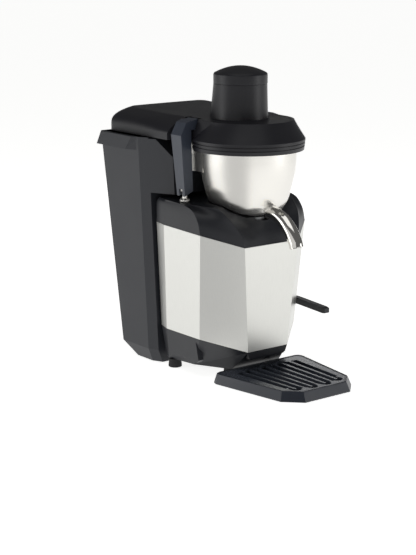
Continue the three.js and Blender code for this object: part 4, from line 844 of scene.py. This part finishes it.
# ---- Stage ------------------------------------------------------------------------------------
def area_light(name, location, aim, size, power, height=None):
    light = bpy.data.lights.new(name, "AREA")
    light.shape = "RECTANGLE"
    light.size = size
    light.size_y = height or size
    light.energy = power
    lamp = bpy.data.objects.new(name, light)
    lamp.location = location
    lamp.rotation_euler = (Vector(aim) - Vector(location)).to_track_quat("-Z", "Y").to_euler()
    bpy.context.scene.collection.objects.link(lamp)


def make_grey_card():
    """A leaning grey card to the left of the camera, seen only in reflections: it gives the bowl
    its upright grey band and the oblique steel panel its darker tone."""
    bm = bmesh.new()
    corners = []
    for reach, height, angles in ((0.23, 0.002, (-6, 52)), (1.2, 0.9, (52, -6))):
        for angle in angles:
            turn = math.radians(angle)
            corners.append(bm.verts.new((-reach * math.cos(turn), -reach * math.sin(turn) - 0.03, height)))
    bm.faces.new(corners)
    card = new_piece("studio_grey_card", bm)
    material, shader = new_surface("card_matt_grey", Roughness=1.0, Emission_Strength=0.66)
    shader.inputs["Base Color"].default_value = linear("#202020")
    shader.inputs["Emission Color"].default_value = (1.0, 1.0, 1.0, 1.0)
    card.data.materials.append(material)
    card.visible_camera = False
    card.visible_diffuse = False
    card.visible_shadow = False


def make_stage():
    """White floor and backdrop, soft lamps, the grey card and the camera."""
    scene = bpy.context.scene
    colours, sizes = scene.juicer_colours, scene.juicer_sizes
    bm = bmesh.new()
    reach = 40.0
    corners = ((-reach, -reach), (reach, -reach), (reach, reach), (-reach, reach))
    bm.faces.new([bm.verts.new((x, y, 0.0)) for x, y in corners])
    floor = new_piece("studio_floor", bm)
    material, shader = new_surface("paper_matt_white", Roughness=0.95, IOR=1.45, Specular_IOR_Level=0.1,
                                   Emission_Strength=0.93)
    shader.inputs["Base Color"].default_value = linear(colours.floor)
    shader.inputs["Emission Color"].default_value = linear(colours.floor)
    floor.data.materials.append(material)
    world = bpy.data.worlds.new("studio")
    world.use_nodes = True
    backdrop = world.node_tree.nodes["Background"]
    backdrop.inputs["Color"].default_value = (1.0, 1.0, 1.0, 1.0)
    # The camera sees a white room above the floor's far edge, but that room lights the juicer only dimly.
    path = add_node(world, "ShaderNodeLightPath")
    strength = add_node(world, "ShaderNodeMapRange", {"To Min": 0.12, "To Max": 1.0},
                        {"Value": path.outputs["Is Camera Ray"]})
    link(world, strength.outputs["Result"], backdrop.inputs["Strength"])
    scene.world = world
    middle = (0.0, 0.0, 0.28)
    make_grey_card()
    area_light("key", (-2.0, 1.2, 0.7), middle, 1.2, 9)
    area_light("front", (1.6, -1.9, 0.6), middle, 1.0, 7)
    area_light("top", (-0.2, -0.3, 2.3), middle, 1.8, 10)
    area_light("rear", (1.5, 1.75, 0.4), (0.0, -0.15, 0.02), 0.8, 2.5, height=0.35)
    camera = bpy.data.objects.new("camera", bpy.data.cameras.new("camera"))
    camera.data.sensor_fit = "VERTICAL"
    camera.data.sensor_height = 36.0
    camera.data.lens = sizes.camera_lens
    camera.data.clip_end = 200.0
    camera.location = (-1.787, -2.206, 0.832)
    look = Vector((0.598, 0.769, -0.225))
    camera.rotation_mode = "QUATERNION"
    camera.rotation_quaternion = look.to_track_quat("-Z", "Y")
    scene.collection.objects.link(camera)
    scene.camera = camera
    scene.view_settings.view_transform = "Standard"


# ---- Operators --------------------------------------------------------------------------------
class JUICER_OT_steel_body(bpy.types.Operator):
    """Brushed steel body with its rear panel"""

    bl_idname = "juicer.steel_body"
    bl_label = "Steel body"

    def execute(self, context):
        edge = context.scene.juicer_sizes.sheet_edge
        refine("body_wrap", edge, 3, 9)
        refine("rear_panel", edge * 0.6, 2, 20)
        return {"FINISHED"}


class JUICER_OT_base(bpy.types.Operator):
    """Moulded base with its chin and side pads"""

    bl_idname = "juicer.base"
    bl_label = "Base"

    def execute(self, context):
        refine("base_cover", context.scene.juicer_sizes.plastic_edge, 3, 18)
        return {"FINISHED"}


class JUICER_OT_top_cover(bpy.types.Operator):
    """Black top cover with its front scoop, fenders and cheeks"""

    bl_idname = "juicer.top_cover"
    bl_label = "Top cover"

    def execute(self, context):
        make_top_cover()
        return {"FINISHED"}


class JUICER_OT_bowl(bpy.types.Operator):
    """Polished bowl, juice spout and the weld between them"""

    bl_idname = "juicer.bowl"
    bl_label = "Bowl and spout"

    def execute(self, context):
        make_bowl()
        make_spout()
        return {"FINISHED"}


class JUICER_OT_lid(bpy.types.Operator):
    """Lid with its grooved rim and feed tube"""

    bl_idname = "juicer.lid"
    bl_label = "Lid"

    def execute(self, context):
        make_lid()
        return {"FINISHED"}


class JUICER_OT_pusher(bpy.types.Operator):
    """Pusher with its domed cap"""

    bl_idname = "juicer.pusher"
    bl_label = "Pusher"

    def execute(self, context):
        make_pusher()
        return {"FINISHED"}


class JUICER_OT_pulp_bin(bpy.types.Operator):
    """Pulp bin with its carrying lip"""

    bl_idname = "juicer.pulp_bin"
    bl_label = "Pulp bin"

    def execute(self, context):
        refine("pulp_bin", context.scene.juicer_sizes.plastic_edge * 2, 4, 14)
        return {"FINISHED"}


class JUICER_OT_drip_tray(bpy.types.Operator):
    """Drip tray and its ribbed grid"""

    bl_idname = "juicer.drip_tray"
    bl_label = "Drip tray"

    def execute(self, context):
        refine("drip_tray", context.scene.juicer_sizes.plastic_edge, 3, 20)
        make_drip_grid()
        return {"FINISHED"}


class JUICER_OT_clamps(bpy.types.Operator):
    """Clamp arms, their rods and pins, and the hand lever that works them"""

    bl_idname = "juicer.clamps"
    bl_label = "Clamps and lever"

    def execute(self, context):
        sizes = context.scene.juicer_sizes
        for side in ("right", "left"):
            refine("clamp_arm_" + side, sizes.plastic_edge, 4, 20, "arm_plastic")
            refine("tie_rod_" + side, sizes.small_edge, 3, 30)
            refine("arm_pin_" + side, sizes.small_edge, 3, 30)
            refine("crank_" + side, sizes.small_edge, 2, 30)
        refine("cross_shaft", sizes.small_edge, 3, 30)
        make_hand_lever()
        return {"FINISHED"}


class JUICER_OT_fittings(bpy.types.Operator):
    """Feet, rod guides, cable gland, switch plate and buttons"""

    bl_idname = "juicer.fittings"
    bl_label = "Fittings"

    def execute(self, context):
        sizes = context.scene.juicer_sizes
        make_turned_fittings()
        refine("switch_plate", sizes.small_edge * 1.6, 3, 30)
        for name in ("start_button", "stop_button"):
            refine(name, sizes.small_edge * 2, 4, 30)
        refine("cable_gland", sizes.small_edge, 2, 30)
        return {"FINISHED"}


class JUICER_OT_inner_parts(bpy.types.Operator):
    """Finishes of the motor, rotor, chassis and other parts that stay as the frame has them"""

    bl_idname = "juicer.inner_parts"
    bl_label = "Inner parts"

    def execute(self, context):
        finish_frame_nodes()
        return {"FINISHED"}


class JUICER_OT_stage(bpy.types.Operator):
    """Pale floor, soft studio light and the camera"""

    bl_idname = "juicer.stage"
    bl_label = "Studio"

    def execute(self, context):
        make_stage()
        return {"FINISHED"}


OPERATORS = (JUICER_OT_stage, JUICER_OT_inner_parts, JUICER_OT_steel_body, JUICER_OT_base,
             JUICER_OT_top_cover, JUICER_OT_bowl, JUICER_OT_lid, JUICER_OT_pusher, JUICER_OT_pulp_bin,
             JUICER_OT_drip_tray, JUICER_OT_clamps, JUICER_OT_fittings)


class JUICER_PT_panel(bpy.types.Panel):
    """Sizes, colours and the pieces of the juicer, in the order that they are made"""

    bl_idname = "JUICER_PT_panel"
    bl_label = "Centrifugal Juicer"
    bl_space_type = "VIEW_3D"
    bl_region_type = "UI"
    bl_category = "Juicer"

    def draw(self, context):
        for group in (context.scene.juicer_sizes, context.scene.juicer_colours):
            column = self.layout.column()
            for name in group.__annotations__:
                column.prop(group, name)
        for maker in OPERATORS:
            self.layout.operator(maker.bl_idname)


CLASSES = (JuicerSizes, JuicerColours, *OPERATORS, JUICER_PT_panel)


def register():
    for entry in CLASSES:
        bpy.utils.register_class(entry)
    bpy.types.Scene.juicer_sizes = bpy.props.PointerProperty(type=JuicerSizes)
    bpy.types.Scene.juicer_colours = bpy.props.PointerProperty(type=JuicerColours)


def unregister():
    del bpy.types.Scene.juicer_colours
    del bpy.types.Scene.juicer_sizes
    for entry in reversed(CLASSES):
        bpy.utils.unregister_class(entry)


def main():
    register()
    for maker in OPERATORS:
        group, name = maker.bl_idname.split(".")
        getattr(getattr(bpy.ops, group), name)()


if __name__ == "__main__":
    main()
